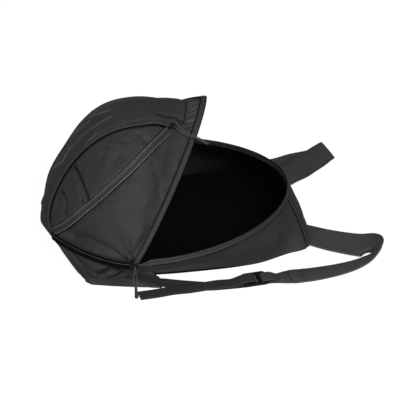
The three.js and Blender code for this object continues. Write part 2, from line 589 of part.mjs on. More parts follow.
// Slider with its cord and grip, placed by the zip's direction and the way out from the cloth.
// The cord passes through the bail from one side to the other, and both its ends meet the grip's neck.
function zipPull(parent, name, side, at, zipRun, out, drop) {
  const across = out.clone().cross(zipRun).normalize();
  const run = across.clone().cross(out).normalize();
  const turn = new THREE.Matrix4().makeBasis(run, across, out).setPosition(at);
  const slider = piece(parent, `${name}_slider_${side}`, sliderBody(), PLASTIC);
  slider.applyMatrix4(turn);
  const local = (x, y, z) => new THREE.Vector3(x, y, z).applyMatrix4(turn);
  const eye = SLIDER.plate + SLIDER.eye / 2;
  const over = SLIDER.plate + SLIDER.eye + SLIDER.bar + CORD;
  const grip = at.clone().add(drop.start);
  const hang = drop.end.clone().sub(drop.start).normalize();
  const spread = hang.clone().cross(out).normalize();
  const down = Math.sign(across.dot(hang));
  const neck = (share) => grip.clone().addScaledVector(spread, share * GRIP.neck / 3);
  const clear = GAP + CORD / 2;
  const points = [
    neck(-1).addScaledVector(hang, -GAP),
    neck(-1.8).addScaledVector(hang, -6),
    neck(-2.2).addScaledVector(hang, -14),
    local(0, SLIDER.bailWidth * down, over),
    local(0, -SLIDER.bailWidth * down, over - GAP),
    local(0, -(SLIDER.bailWidth + clear) * down, eye + CORD),
    local(0, -(SLIDER.bailWidth / 2 + clear) * down, eye + GAP),
    local(0, 0, eye),
    local(0, (SLIDER.width / 2 + clear) * down, eye + CORD / 2),
    neck(2.2).addScaledVector(hang, -14),
    neck(1.8).addScaledVector(hang, -6),
    neck(1).addScaledVector(hang, -GAP),
  ];
  piece(parent, `${name}_pull_cord_${side}`, cordThrough(points, FACETS.cord), CORDING);
  const gripMesh = piece(parent, `${name}_pull_grip_${side}`, gripBody(), PLASTIC);
  const face = spread.clone().cross(hang.clone().negate()).normalize();
  const gripTurn = new THREE.Matrix4().makeBasis(spread, hang.clone().negate(), face).setPosition(grip);
  gripMesh.applyMatrix4(gripTurn);
}

// Sliders of one side: the main one where lid and tray part, the other where the expansion tapes meet
function sidePulls(parent, side) {
  const mainAt = new THREE.Vector3(HINGE.x, -HINGE.halfWidth - SLIDER.seat, HINGE.z - 1);
  const [zipRun, mainOut] = [new THREE.Vector3(1, 0, 0), new THREE.Vector3(0, -1, 0)];
  zipPull(parent, 'main', side, mainAt, zipRun, mainOut, PULLS.main);
  const skin = (along, across) => lidSkin(along, across, side);
  const across = -tapesAt(EXPANSION_SLIDER, side).upper;
  const out = outwardNormal(skin, EXPANSION_SLIDER, across);
  const at = skin(EXPANSION_SLIDER, across).addScaledVector(out, SLIDER.seat);
  const step = 0.02;
  const run = skin(EXPANSION_SLIDER + step, across).sub(skin(EXPANSION_SLIDER - step, across));
  run.normalize();
  zipPull(parent, 'expansion', side, at, run, out, PULLS[`expansion_${side}`]);
}

// Ladder lock: a flat frame with three cross slots
function ladderLock() {
  const frame = roundedRectangle(LOCK.length, LOCK.width, LOCK.corner);
  for (const slot of LOCK_SLOTS) {
    const middle = (slot.from + slot.to) / 2;
    frame.holes.push(roundedRectangle(slot.to - slot.from, LOCK.slot, 1, middle, 0));
  }
  return slab(frame, LOCK.thickness);
}

// Sewn tab: its inner edge runs along the back panel's outline
function strapWing() {
  const corners = WING_CORNERS.map(({ x, y }) => new THREE.Vector2(x, y));
  const [innerFrom, innerTo, steps] = [0.46, 1.12, FACETS.wing];
  for (let k = 0; k <= steps; k += 1) {
    const { x, y } = tableAt(OUTLINE, 'at', innerFrom + (innerTo - innerFrom) * k / steps);
    const away = new THREE.Vector2(x - CENTRE.x, y).setLength(3 * GAP);
    corners.push(away.add(new THREE.Vector2(x, y)));
  }
  return slab(new THREE.Shape(corners), WING);
}

function sideStraps(parent, side, strapRows) {
  piece(parent, `shoulder_strap_${side}`, strapThrough(strapRows, STRAP), STRAPPING);
  piece(parent, `buckle_loop_${side}`, strapThrough(BUCKLE_LOOP, WEBBING.thickness), STRAPPING);
  const lock = piece(parent, `ladder_lock_${side}`, ladderLock(), PLASTIC);
  lock.position.set(LOCK_PLACE.x, LOCK_PLACE.y, LOCK_PLACE.z);
  lock.rotation.z = THREE.MathUtils.degToRad(LOCK_PLACE.turned);
  piece(parent, `lower_webbing_${side}`, strapThrough(LOWER_WEBBING, WEBBING.thickness), STRAPPING);
  const wing = piece(parent, `strap_wing_${side}`, strapWing(), NYLON);
  wing.position.z = GAP;
}

middlePieces(bag);
for (const [side, strapRows] of [['near', NEAR_STRAP], ['far', FAR_STRAP]]) {
  const half = new THREE.Group();
  sidePanels(half, side);
  sidePulls(half, side);
  sideStraps(half, side, strapRows);
  if (side === 'far') half.scale.y = -1; // the far half mirrors the near one
  bag.add(half);
}

export default bag;
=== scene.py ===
import bmesh
import bpy
import numpy as np
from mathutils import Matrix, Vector


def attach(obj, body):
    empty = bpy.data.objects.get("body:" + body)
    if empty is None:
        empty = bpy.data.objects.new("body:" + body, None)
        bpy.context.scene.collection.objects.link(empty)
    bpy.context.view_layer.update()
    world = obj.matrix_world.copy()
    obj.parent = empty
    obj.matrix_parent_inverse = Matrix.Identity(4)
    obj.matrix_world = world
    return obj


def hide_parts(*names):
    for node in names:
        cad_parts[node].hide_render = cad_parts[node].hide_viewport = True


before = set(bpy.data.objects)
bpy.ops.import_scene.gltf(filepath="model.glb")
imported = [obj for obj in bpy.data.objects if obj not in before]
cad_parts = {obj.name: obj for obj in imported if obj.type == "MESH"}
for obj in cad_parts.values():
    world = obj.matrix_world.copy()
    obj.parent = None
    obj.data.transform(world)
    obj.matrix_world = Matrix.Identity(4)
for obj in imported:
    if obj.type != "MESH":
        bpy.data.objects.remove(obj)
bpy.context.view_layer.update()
print("frame loaded with", len(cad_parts), "nodes")

# Lengths below are millimetres, as on a pattern sheet, and become metres when a mesh is made
millimetre = 0.001
scene = bpy.context.scene

# Camera: a long lens, set by its bearing from the bag and by where one floor point falls in the picture
view = {"azimuth": -15, "elevation": 35, "lens": 100, "sensor": 36, "distance": 1.722,
        "target": (-0.020, -0.010, 0.0), "targetPixel": (170, 230), "picture": 400}


def placeCamera():
    # position is target + distance along the bearing; it looks along the ray through the picture's middle
    bearing, height = np.radians([view["azimuth"], view["elevation"]])
    back = np.array([np.sin(bearing) * np.cos(height), -np.cos(bearing) * np.cos(height), np.sin(height)])
    right = np.array([np.cos(bearing), np.sin(bearing), 0.0])
    up = np.cross(back, right)
    focal = view["lens"] / view["sensor"] * view["picture"]
    offset = (view["picture"] / 2 - np.array(view["targetPixel"])) / focal
    look = -back + offset[0] * right - offset[1] * up
    data = bpy.data.cameras.new("studioCamera")
    data.lens, data.sensor_width = view["lens"], view["sensor"]
    camera = bpy.data.objects.new("studioCamera", data)
    camera.location = np.array(view["target"]) + view["distance"] * back
    camera.rotation_euler = Vector(look).to_track_quat("-Z", "Y").to_euler()
    scene.collection.objects.link(camera)
    scene.camera = camera


placeCamera()
print("camera placed")


# Materials

def linear(hexColour):
    # sRGB hex to linear red, green, blue and full cover
    parts = np.array([int(hexColour[i:i + 2], 16) for i in (1, 3, 5)]) / 255
    return (*np.where(parts <= 0.04045, parts / 12.92, ((parts + 0.055) / 1.055) ** 2.4), 1.0)


def addNode(tree, kind, settings=None, links=None):
    # one node, its settings by property, socket name or socket number, and the sockets that feed it
    node = tree.nodes.new(kind)
    for name, value in (settings or {}).items():
        if isinstance(name, int) or name in node.inputs:
            node.inputs[name].default_value = value
        else:
            setattr(node, name, value)
    for name, socket in (links or {}).items():
        tree.links.new(socket, node.inputs[name])
    return node


def newMaterial(name, surface):
    # a material with its shader's plain values already on the shader's own sockets
    material = bpy.data.materials.new(name)
    material.use_nodes = True
    tree = material.node_tree
    tree.nodes.clear()
    shader = addNode(tree, "ShaderNodeBsdfPrincipled", surface)
    addNode(tree, "ShaderNodeOutputMaterial", None, {"Surface": shader.outputs["BSDF"]})
    return material, tree, shader


# Socket numbers of a Mix node that mixes colours, whose names stand for several sockets
mixFrom, mixTo, mixed = 6, 7, 2
waveLength = 0.31416  # metres from thread to thread of a wave texture of scale 1
# What a cloth has unless its own lines say otherwise: sizes in mm, a crinkle as its size and rise
# the last two colours are painted shade in creases and a painted highlight on ridges
plainCloth = {"thread": (0.6, 0.6), "cloud": 10, "roughness": (0.5, 0.65), "depth": 0.1, "specular": 0.12,
              "sheen": 0.05, "crinkle": (20, 0.2), "paintedCreaseShade": "#040405", "paintedRidgeHighlight": "#48484a"}


def wovenCloth(name, finish):
    # two crossed thread waves on the cloth's own UV map give the weave, and noise gives uneven dye,
    # gloss and crinkles. The mesh attribute "fold" paints shade into the colour, towards near black, where
    # it is above 0 in a closed crease, and paints a pale highlight where it is below 0 on a sharp ridge
    finish = dict(plainCloth, **finish)
    material, tree, shader = newMaterial(name, {
        "IOR": 1.5, "Specular IOR Level": finish["specular"], "Sheen Weight": finish["sheen"],
        "Sheen Roughness": 0.4, "Sheen Tint": linear("#c4c6cc")})
    place = addNode(tree, "ShaderNodeUVMap", {"uv_map": "cloth"})
    weave = addNode(tree, "ShaderNodeMath", {"operation": "MAXIMUM"})
    for socket, direction in enumerate("XY"):
        wave = addNode(tree, "ShaderNodeTexWave", {
            "wave_type": "BANDS", "bands_direction": direction, "wave_profile": "SIN", "Detail": 1.0,
            "Scale": waveLength / (finish["thread"][socket] * millimetre), "Distortion": 0.4},
            {"Vector": place.outputs["UV"]})
        tree.links.new(wave.outputs["Fac"], weave.inputs[socket])
    spot = addNode(tree, "ShaderNodeTexCoord")
    cloud = addNode(tree, "ShaderNodeTexNoise", {"Scale": 1 / (finish["cloud"] * millimetre), "Detail": 4.0},
                    {"Vector": spot.outputs["Object"]})
    dye = addNode(tree, "ShaderNodeMix", {
        "data_type": "RGBA", mixFrom: linear(finish["dark"]), mixTo: linear(finish["light"])},
        {"Factor": cloud.outputs["Fac"]})
    thread = addNode(tree, "ShaderNodeMix", {
        "data_type": "RGBA", "blend_type": "MULTIPLY", mixTo: linear("#d2d2d4")},
        {"Factor": weave.outputs["Value"], mixFrom: dye.outputs[mixed]})
    # painted shade in closed creases and painted highlight on sharp ridges, both from the fold attribute
    fold = addNode(tree, "ShaderNodeAttribute", {"attribute_name": "fold"})
    ridge = addNode(tree, "ShaderNodeMath", {"operation": "MULTIPLY", 1: -1.0}, {0: fold.outputs["Fac"]})
    ridgeLit = addNode(tree, "ShaderNodeMix", {"data_type": "RGBA", mixTo: linear(finish["paintedRidgeHighlight"])},
                   {"Factor": ridge.outputs["Value"], mixFrom: thread.outputs[mixed]})
    depth = addNode(tree, "ShaderNodeMix", {"data_type": "RGBA", mixTo: linear(finish["paintedCreaseShade"])},
                    {"Factor": fold.outputs["Fac"], mixFrom: ridgeLit.outputs[mixed]})
    tree.links.new(depth.outputs[mixed], shader.inputs["Base Color"])
    gloss = addNode(tree, "ShaderNodeMapRange",
                    {"To Min": finish["roughness"][0], "To Max": finish["roughness"][1]},
                    {"Value": cloud.outputs["Fac"]})
    tree.links.new(gloss.outputs["Result"], shader.inputs["Roughness"])
    size, rise = finish["crinkle"]
    crinkle = addNode(tree, "ShaderNodeTexNoise", {
        "noise_type": "RIDGED_MULTIFRACTAL", "Scale": 1 / (size * millimetre), "Detail": 3.0,
        "Roughness": 0.45, "Distortion": 0.5}, {"Vector": spot.outputs["Object"]})
    slack = addNode(tree, "ShaderNodeBump", {"Strength": 1.0, "Distance": rise * millimetre},
                    {"Height": crinkle.outputs["Fac"]})
    relief = addNode(tree, "ShaderNodeBump", {"Strength": 0.4, "Distance": finish["depth"] * millimetre},
                     {"Height": weave.outputs["Value"], "Normal": slack.outputs["Normal"]})
    tree.links.new(relief.outputs["Normal"], shader.inputs["Normal"])
    return material


def mouldedPlastic(name, finish):
    # fine spark-eroded grain and slight handling wear from one noise
    material, tree, shader = newMaterial(name, {
        "IOR": 1.53, "Specular IOR Level": finish["specular"], "Base Color": linear(finish["colour"])})
    spot = addNode(tree, "ShaderNodeTexCoord")
    grain = addNode(tree, "ShaderNodeTexNoise", {"Scale": 1 / (finish["grain"] * millimetre), "Detail": 3.0},
                    {"Vector": spot.outputs["Object"]})
    gloss = addNode(tree, "ShaderNodeMapRange",
                    {"To Min": finish["roughness"][0], "To Max": finish["roughness"][1]},
                    {"Value": grain.outputs["Fac"]})
    tree.links.new(gloss.outputs["Result"], shader.inputs["Roughness"])
    relief = addNode(tree, "ShaderNodeBump", {"Strength": 0.15, "Distance": 0.05 * millimetre},
                     {"Height": grain.outputs["Fac"]})
    tree.links.new(relief.outputs["Normal"], shader.inputs["Normal"])
    return material


def lightTable(name, finish):
    # milky acrylic sheet, very faintly cloudy, lit from below so that hardly any shadow shows on it
    material, tree, shader = newMaterial(name, {
        "Roughness": 0.9, "Specular IOR Level": 0.1, "Emission Color": linear("#ffffff"),
        "Emission Strength": finish["glow"]})
    spot = addNode(tree, "ShaderNodeTexCoord")
    milk = addNode(tree, "ShaderNodeTexNoise", {"Scale": 1 / (finish["cloud"] * millimetre), "Detail": 3.0},
                   {"Vector": spot.outputs["Object"]})
    tone = addNode(tree, "ShaderNodeMix", {
        "data_type": "RGBA", mixFrom: linear(finish["dark"]), mixTo: linear(finish["light"])},
        {"Factor": milk.outputs["Fac"]})
    tree.links.new(tone.outputs[mixed], shader.inputs["Base Color"])
    return material


# Coated oxford nylon: black with a grey bloom and a soft gloss, its 0.4 mm threads drawn coarser to show
nylon = wovenCloth("coatedOxfordNylon", {
    "dark": "#1f1f21", "light": "#282829", "thread": (1.2, 1.2), "cloud": 60, "roughness": (0.55, 0.7),
    "specular": 0.08, "sheen": 0.03, "crinkle": (24, 1.3)})
# The same nylon over padding on the straps and gathered at the tip, its colour painted lighter: painted
# light
paintedLighterNylon = wovenCloth("nylonPaintedLighter", {
    "dark": "#2a2a2c", "light": "#323234", "thread": (1.2, 1.2), "cloud": 60, "roughness": (0.5, 0.6),
    "specular": 0.14, "sheen": 0.03, "crinkle": (16, 0.5)})
# Taffeta lining: thinner and duller than the shell, and painted near black, far darker than it, as painted
# shade so that the inside stays deep
lining = wovenCloth("taffetaLining", {
    "dark": "#030304", "light": "#050506", "thread": (0.8, 0.8), "cloud": 50, "roughness": (0.6, 0.75),
    "depth": 0.08, "specular": 0.05, "sheen": 0.0, "crinkle": (25, 0.5)})
# Woven polyester zip tape: a dense herringbone, a shade greyer than the shell
zipTapeCloth = wovenCloth("wovenZipTape", {
    "dark": "#1e1e20", "light": "#272729", "thread": (1.1, 0.7), "cloud": 25, "depth": 0.2})
# Polypropylene webbing: coarse ribs and a faint warm cast
webbingCloth = wovenCloth("polypropyleneWebbing", {
    "dark": "#1f1f1d", "light": "#272724", "thread": (1.5, 2.2), "cloud": 30, "depth": 0.35})
# Bonded sewing thread, a shade lighter than the tape it holds
threadFibre = wovenCloth("bondedThread", {
    "dark": "#262628", "light": "#303032", "roughness": (0.4, 0.5), "specular": 0.2, "crinkle": (10, 0.05)})
# Painted highlight on the zip tape's folded edges: a thin pale line standing in for the light they catch
edgeHighlight = wovenCloth("zipTapeEdgeHighlight", {
    "dark": "#4c4c4e", "light": "#606062", "cloud": 20, "roughness": (0.4, 0.5), "specular": 0.3,
    "crinkle": (10, 0.05)})
# Braided pull cord, greyer than the bag where it is worn
cordFibre = wovenCloth("braidedCord", {
    "dark": "#262628", "light": "#303032", "thread": (0.8, 0.8), "depth": 0.2, "specular": 0.15,
    "crinkle": (10, 0.05)})
# Moulded acetal: even, satin, with small bright glints on its edges
acetal = mouldedPlastic("mouldedAcetal", {
    "colour": "#09090a", "grain": 0.6, "roughness": (0.3, 0.42), "specular": 0.25})
# Soft grip rubber on the pulls, greyer and duller than the acetal
gripRubber = mouldedPlastic("gripRubber", {
    "colour": "#222224", "grain": 0.8, "roughness": (0.45, 0.6), "specular": 0.2})
# Nylon zip coil: black and dull, so that it reads as a dark line
# the same black also paints shade: beads along tape edges and seams, and the closed zip's tape
coilAndShadeBlack = mouldedPlastic("zipCoilAndPaintedShade", {
    "colour": "#030304", "grain": 0.5, "roughness": (0.5, 0.65), "specular": 0.03})
print("materials made")


# Meshes from arrays

def gridFaces(rows, columns, wrap=False):
    # quads of a grid of points numbered row by row, its columns joined round when wrap is set
    r, c = np.meshgrid(np.arange(rows - 1), np.arange(columns - (not wrap)), indexing="ij")
    d = (c + 1) % columns
    quads = [r * columns + c, r * columns + d, (r + 1) * columns + d, (r + 1) * columns + c]
    return np.stack(quads, -1).reshape(-1, 4)


def meshPiece(name, points, faces, materials, uv):
    # points in millimetres, faces as equal-sided corner lists, uv one pair for each point
    points, faces = np.asarray(points, float).reshape(-1, 3), np.asarray(faces, int)
    mesh = bpy.data.meshes.new(name)
    mesh.vertices.add(len(points))
    mesh.vertices.foreach_set("co", (points * millimetre).ravel())
    mesh.loops.add(faces.size)
    mesh.loops.foreach_set("vertex_index", faces.ravel())
    mesh.polygons.add(len(faces))
    mesh.polygons.foreach_set("loop_start", np.arange(0, faces.size, faces.shape[1]))
    mesh.polygons.foreach_set("use_smooth", np.ones(len(faces), bool))
    layer = mesh.uv_layers.new(name="cloth")
    layer.data.foreach_set("uv", np.asarray(uv, float).reshape(-1, 2)[faces.ravel()].ravel())
    mesh.update(calc_edges=True)
    mesh.validate()
    for material in materials:
        mesh.materials.append(material)
    piece = bpy.data.objects.new(name, mesh)
    scene.collection.objects.link(piece)
    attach(piece, "root")
    return piece


def unit(vectors):
    # each vector over its own length
    return vectors / np.maximum(np.linalg.norm(vectors, axis=-1, keepdims=True), 1e-9)


def runLength(points, axis=0):
    # distance run along one axis of a grid of points, from 0 at its start
    steps = np.linalg.norm(np.diff(points, axis=axis), axis=-1)
    return np.concatenate([np.zeros_like(np.take(steps, [0], axis)), np.cumsum(steps, axis)], axis)


bagMiddle = np.array([-60.0, 0.0, 60.0])
leastArea = 0.31  # smallest share of its flat rectangle that a sheet's area is given as


def clothPanel(name, points, node, thickness, materials, inside=bagMiddle, fold=None):
    # a sheet over a grid of points, turned away from a point inside, its thickness laid on that side.
    # fold is how far each point lies in a closed crease, 0 to 1, or on a ridge, 0 to -1, kept for painted
    # shade and highlight
    rows, columns = points.shape[:2]
    uv = np.stack([runLength(points, 0), runLength(points, 1)], -1) * millimetre
    a, b = points[1:, :-1] - points[:-1, :-1], points[:-1, 1:] - points[:-1, :-1]
    facing = (np.cross(a, b) * (points[:-1, :-1] - inside)).sum()
    faces = gridFaces(rows, columns)
    piece = meshPiece(name, points, faces if facing < 0 else faces[:, ::-1], materials, uv)
    if fold is not None:
        layer = piece.data.attributes.new("fold", "FLOAT", "POINT")
        layer.data.foreach_set("value", np.clip(fold, -1, 1).ravel())
    wall = piece.modifiers.new("thickness", "SOLIDIFY")
    wall.thickness, wall.offset, wall.use_rim = thickness * millimetre, -1, True
    wall.material_offset = len(materials) - 1
    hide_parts(node)
    length, width = uv[-1, :, 0].max(), uv[:, -1, 1].max()
    area = np.linalg.norm(np.cross(a, b), axis=-1).sum() * millimetre ** 2
    area = float(np.clip(area, leastArea * width * length, width * length))


def sweptPiece(name, path, profile, materials, node=None, scale=None):
    # a closed profile carried along a path, its two columns along side and up, each end closed to a point
    points, side, up = path
    across, height = np.asarray(profile["across"], float), np.asarray(profile["up"], float)
    scale = np.ones((len(points), 2)) if scale is None else scale
    ring = points[:, None] + side[:, None] * (across * scale[:, :1])[..., None] \
        + up[:, None] * (height * scale[:, 1:])[..., None]
    count, around = ring.shape[:2]
    body = np.concatenate([ring.reshape(-1, 3), ring[0].mean(0)[None], ring[-1].mean(0)[None]])
    quads = gridFaces(count, around, wrap=True)
    k = np.arange(around)
    first, last = count * around, count * around + 1
    capA = np.stack([(k + 1) % around, k, np.full(around, first)], -1)
    capB = np.stack([first - around + k, first - around + (k + 1) % around, np.full(around, last)], -1)
    triangles = np.concatenate([quads[:, [0, 1, 2]], quads[:, [0, 2, 3]], capA, capB])
    run = runLength(points)[:, None] * np.ones(around)
    girth = np.ones((count, 1)) * np.linspace(0, 1, around) * np.ptp(across) * 2
    uv = np.concatenate([np.stack([run, girth], -1).reshape(-1, 2), [[0, 0], [run[-1, 0], 0]]]) * millimetre
    corners = body[triangles]
    volume = (corners[:, 0] * np.cross(corners[:, 1], corners[:, 2])).sum()
    piece = meshPiece(name, body, triangles if volume > 0 else triangles[:, ::-1], materials, uv)
    if node:
        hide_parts(node)
    return piece


def mirrored(points):
    # the far side: y turned to minus y
    return points * np.array([1.0, -1.0, 1.0])


def asIs(points):
    # the near side
    return points


bothSides = (("near", asIs), ("far", mirrored))


# Shapes of the bag

def curveThrough(table, key, at):
    # every column at once as cubic pieces through the rows, slopes taken from the rows before and after
    knots, at = np.array(table[key], float), np.asarray(at, float)
    i = np.clip(np.searchsorted(knots, at, side="right") - 1, 0, len(knots) - 2)
    step = knots[i + 1] - knots[i]
    s = (at - knots[i]) / step
    before = np.concatenate([[0], np.arange(len(knots) - 1)])
    after = np.concatenate([np.arange(1, len(knots)), [len(knots) - 1]])
    found = {}
    for name, column in table.items():
        p = np.array(column, float)
        slope = (p[after] - p[before]) / (knots[after] - knots[before])
        found[name] = (2 * s ** 3 - 3 * s ** 2 + 1) * p[i] + (s ** 3 - 2 * s ** 2 + s) * step * slope[i] \
            + (3 * s ** 2 - 2 * s ** 3) * p[i + 1] + (s ** 3 - s ** 2) * step * slope[i + 1]
    return found


def outward(surface, p, q, step=0.003):
    # unit normal from the surface's two directions of travel, turned away from the bag's middle
    alongP = surface(p + step, q) - surface(p - step, q)
    alongQ = surface(p, q + step) - surface(p, q - step)
    normal = unit(np.cross(alongP, alongQ))
    away = (normal * (surface(p, q) - bagMiddle)).sum(-1, keepdims=True)
    return np.where(away < 0, -normal, normal)


def distanceTo(points, line):
    # shortest distance from each point to a chain of straight steps
    best = np.full(points.shape[:-1], 1e9)
    for start, end in zip(line[:-1], line[1:]):
        run = end - start
        share = np.clip(((points - start) * run).sum(-1) / max((run * run).sum(), 1e-9), 0, 1)
        best = np.minimum(best, np.linalg.norm(points - start - share[..., None] * run, axis=-1))
    return best


# Painted shade of the sharper folds, those below this number: full at this depth, and reaching so far, mm
creaseShade = {"sharp": 1.35, "deep": 5, "reach": 2.2}


def crease(line, width, height, sharp, closed=None):
    # one row of a fold table. closed is its painted shade, 1 in a deep valley, to -1, a painted highlight,
    # on a high ridge
    if closed is None:
        closed = np.clip(-height / creaseShade["deep"], -1, 1) if sharp < creaseShade["sharp"] else 0
    return {"line": line, "width": width, "height": height, "sharp": sharp, "closed": closed}


def foldHeights(points, folds, surface, finer=8):
    # sum over the folds of height x exp(-(distance / width) ^ sharp), each fold's line drawn on the bare
    # surface, and as painted shade the sum of closed x exp(-(distance / reach) ^ 2)
    total = np.zeros(points.shape[:-1])
    closed = np.zeros(points.shape[:-1])
    for fold in folds:
        places = np.array(fold["line"], float)
        knots = {"t": np.linspace(0, 1, len(places)), "p": places[:, 0], "q": places[:, 1]}
        drawn = curveThrough(knots, "t", np.linspace(0, 1, finer * (len(places) - 1) + 1))
        far = distanceTo(points, surface(drawn["p"], drawn["q"]))
        total += fold["height"] * np.exp(-(far / fold["width"]) ** fold["sharp"])
        closed += fold["closed"] * np.exp(-(far / creaseShade["reach"]) ** 2)
    return total, closed


# Small creases: uneven steps for place and length, their swing about the lean in radians, least length
# and how much more, as shares of the panel, across to along, width in mm and sharpness
scatterShape = {"steps": (0.618034, 0.414214, 0.754878), "swing": 0.7, "beat": 2.4, "reach": (0.025, 0.04),
                "stretch": 1.4, "width": 2.4, "sharp": 1.4}


def scattered(count, along, across, lean, height):
    # short creases that step by fractions of the stretch, about one direction, every third one a ridge
    k = np.arange(1, count + 1)
    p, q, more = (k * step % 1 for step in scatterShape["steps"])
    p, q = along[0] + (along[1] - along[0]) * p, across[0] + (across[1] - across[0]) * q
    turn = lean + scatterShape["swing"] * np.sin(scatterShape["beat"] * k)
    reach = scatterShape["reach"][0] + scatterShape["reach"][1] * more
    ends = np.stack([p + reach * np.cos(turn), q + scatterShape["stretch"] * reach * np.sin(turn)], -1)
    rise = np.where(k % 3 == 0, height, -height)
    return [crease([start, end], scatterShape["width"], h, scatterShape["sharp"])
            for start, end, h in zip(np.stack([p, q], -1), ends, rise)]


def clothRipple(points, size, seed=0.0):
    # slow uneven swell of slack cloth: three slanted sine waves of unlike length, one bent by the next
    x, y, z = np.moveaxis(points, -1, 0)
    bend = np.sin(0.045 * y + 0.03 * z + seed)
    long = np.sin(0.11 * x + 0.05 * y + 1.7 * bend + seed)
    middle = 0.7 * np.sin(0.09 * z - 0.07 * x + 2.1 * bend)
    short = 0.5 * np.sin(0.19 * y + 0.13 * z + 1.3 * bend + 2 * seed)
    return size * (long + middle + short) / 2


# Lid: arches through a ridge line, all springing from the two main sliders
lidShape = {
    "hingeX": -115, "hingeZ": 64, "halfWidth": 164, "crownShare": 0.3,
    "arches": {"along": [0, 0.15, 0.3, 0.45, 0.6, 0.75, 0.9, 1.0],
               "x": [-217, -200, -171, -136, -95, -48, 2, 41],
               "z": [50, 100, 151, 194, 219, 228, 217, 219],
               "power": [1.35, 1.4, 1.32, 1.34, 1.36, 1.31, 1.24, 1.2],
               "flat": [0.05, 0.1, 0.1, 0.11, 0.12, 0.09, 0.03, 0.0]},
    "mouth": 0.985, "tipSeam": 0.925, "edge": 0.972, "thickness": 1.6, "lap": 0.0005, "start": 0.0012,
    "expansion": {
        "along": [0, 0.02, 0.06, 0.12, 0.22, 0.32, 0.44, 0.58, 0.7, 0.79, 0.868, 0.93, 1.0],
        "upper": [0.232, 0.216, 0.142, 0.104, 0.09, 0.105, 0.14, 0.172, 0.21, 0.226, 0.247, 0.236, 0.246],
        "lower": [0.236, 0.234, 0.275, 0.33, 0.39, 0.43, 0.45, 0.435, 0.388, 0.325, 0.249, 0.236, 0.246],
        "farUpper": [0.3, 0.298, 0.296, 0.296, 0.3, 0.304, 0.308, 0.308, 0.304, 0.3, 0.292, 0.285, 0.28],
        "farLower": [0.304, 0.318, 0.36, 0.41, 0.46, 0.49, 0.5, 0.485, 0.44, 0.38, 0.294, 0.285, 0.28]},
    "gusset": (0.0012, 0.866), "crowding": 1.15, "swell": 0.55,
}
# Folds of each panel: a line of (along, across) places, across 0 at the ridge and -1 at the near slider,
# then width and height in mm, sharpness (1 a crease, 2 a soft roll), and painted shade where not by depth
lidFolds = {
    "crown": [
        crease([(0.207, 0.171), (0.275, 0.055), (0.338, 0.073)], 2.4, 2.2, 1.2),
        crease([(0.353, 0.239), (0.415, 0.131), (0.469, 0.106)], 2.4, 2.2, 1.2),
        crease([(0.458, 0.195), (0.521, 0.097), (0.577, 0.04)], 2.4, 2.0, 1.2),
        crease([(0.331, 0.049), (0.466, -0.025), (0.564, -0.049)], 2.6, 1.2, 1.2),
        crease([(0.402, -0.11), (0.452, -0.108), (0.474, -0.098)], 2.4, 0.8, 1.2),
        crease([(0.785, -0.16), (0.824, -0.179), (0.864, -0.184), (0.903, -0.211)], 2.6, -1.7, 1.2, 0.8),
        crease([(0.87, 0.13), (0.93, 0.13)], 15, 3, 2),
        crease([(0.921, -0.24), (0.921, 0.02), (0.921, 0.27)], 2, -0.4, 1.3, 0.85),
        crease([(0.77, -0.14), (0.824, -0.157), (0.88, -0.17)], 6, 0.8, 2)],
    "tip": [
        crease([(0.931, -0.032), (0.963, -0.012)], 2.4, -0.6, 1.3, 0.5),
        crease([(0.933, -0.119), (0.967, -0.096)], 2.4, -0.7, 1.3, 0.5),
        crease([(0.934, -0.165), (0.973, -0.146)], 2.4, -0.7, 1.3, 0.5),
        crease([(0.933, -0.205), (0.974, -0.196)], 2.4, -0.9, 1.3, 0.5),
        crease([(0.933, 0.06), (0.966, 0.08)], 2.4, -0.6, 1.3, 0.5),
        crease([(0.933, 0.14), (0.966, 0.16)], 2.4, -0.6, 1.3, 0.5)],
    "gusset": [
        crease([(0.316, -0.134), (0.319, -0.202), (0.313, -0.285), (0.299, -0.36),
                (0.282, -0.405)], 2.6, -4.6, 1.2),
        crease([(0.29, -0.16), (0.285, -0.28), (0.268, -0.37)], 9, 1.8, 2),
        crease([(0.345, -0.17), (0.34, -0.3), (0.32, -0.41)], 9, 0.5, 2),
        crease([(0.202, -0.132), (0.205, -0.192), (0.19, -0.24), (0.155, -0.269)], 3.2, -3.4, 1.3),
        crease([(0.147, -0.169), (0.152, -0.221), (0.14, -0.305)], 4, -2.2, 1.4),
        crease([(0.263, -0.347), (0.258, -0.387)], 3, -2.4, 1.3),
        crease([(0.516, -0.281), (0.475, -0.332), (0.429, -0.389)], 14, 1.5, 2),
        crease([(0.559, -0.308), (0.519, -0.344), (0.489, -0.373)], 7, -1.1, 2),
        crease([(0.399, -0.2), (0.436, -0.266), (0.469, -0.269)], 6, -2, 1.6),
        crease([(0.682, -0.26), (0.72, -0.313), (0.754, -0.355)], 4.5, -2.4, 1.4)],
    "farGusset": [
        crease([(0.3, -0.32), (0.29, -0.44)], 4, -3, 1.4),
        crease([(0.55, -0.33), (0.5, -0.44)], 9, 2, 2)],
    "side": [
        crease([(0.05, -0.376), (0.1, -0.463), (0.116, -0.526), (0.13, -0.605), (0.144, -0.705),
                (0.126, -0.784), (0.096, -0.871)], 25, -12, 1.0, 0.3),
        crease([(0.827, -0.306), (0.814, -0.345), (0.794, -0.373)], 5, -1.3, 1.6),
        crease([(0.781, -0.418), (0.758, -0.453)], 5, -1.3, 1.6),
        crease([(0.8, -0.471), (0.845, -0.503), (0.863, -0.537)], 5, -1.3, 1.6),
        crease([(0.865, -0.28), (0.84, -0.37), (0.84, -0.43)], 8, 0.8, 2),
        crease([(0.588, -0.6), (0.682, -0.594), (0.761, -0.635)], 12, -2, 2),
        crease([(0.309, -0.51), (0.452, -0.544), (0.587, -0.518)], 20, 0.8, 2),
        crease([(0.516, -0.831), (0.667, -0.784), (0.807, -0.727)], 6, 1.8, 1.8),
        crease([(0.2, -0.82), (0.35, -0.85), (0.5, -0.86)], 5, -1.2, 1.5)],
}

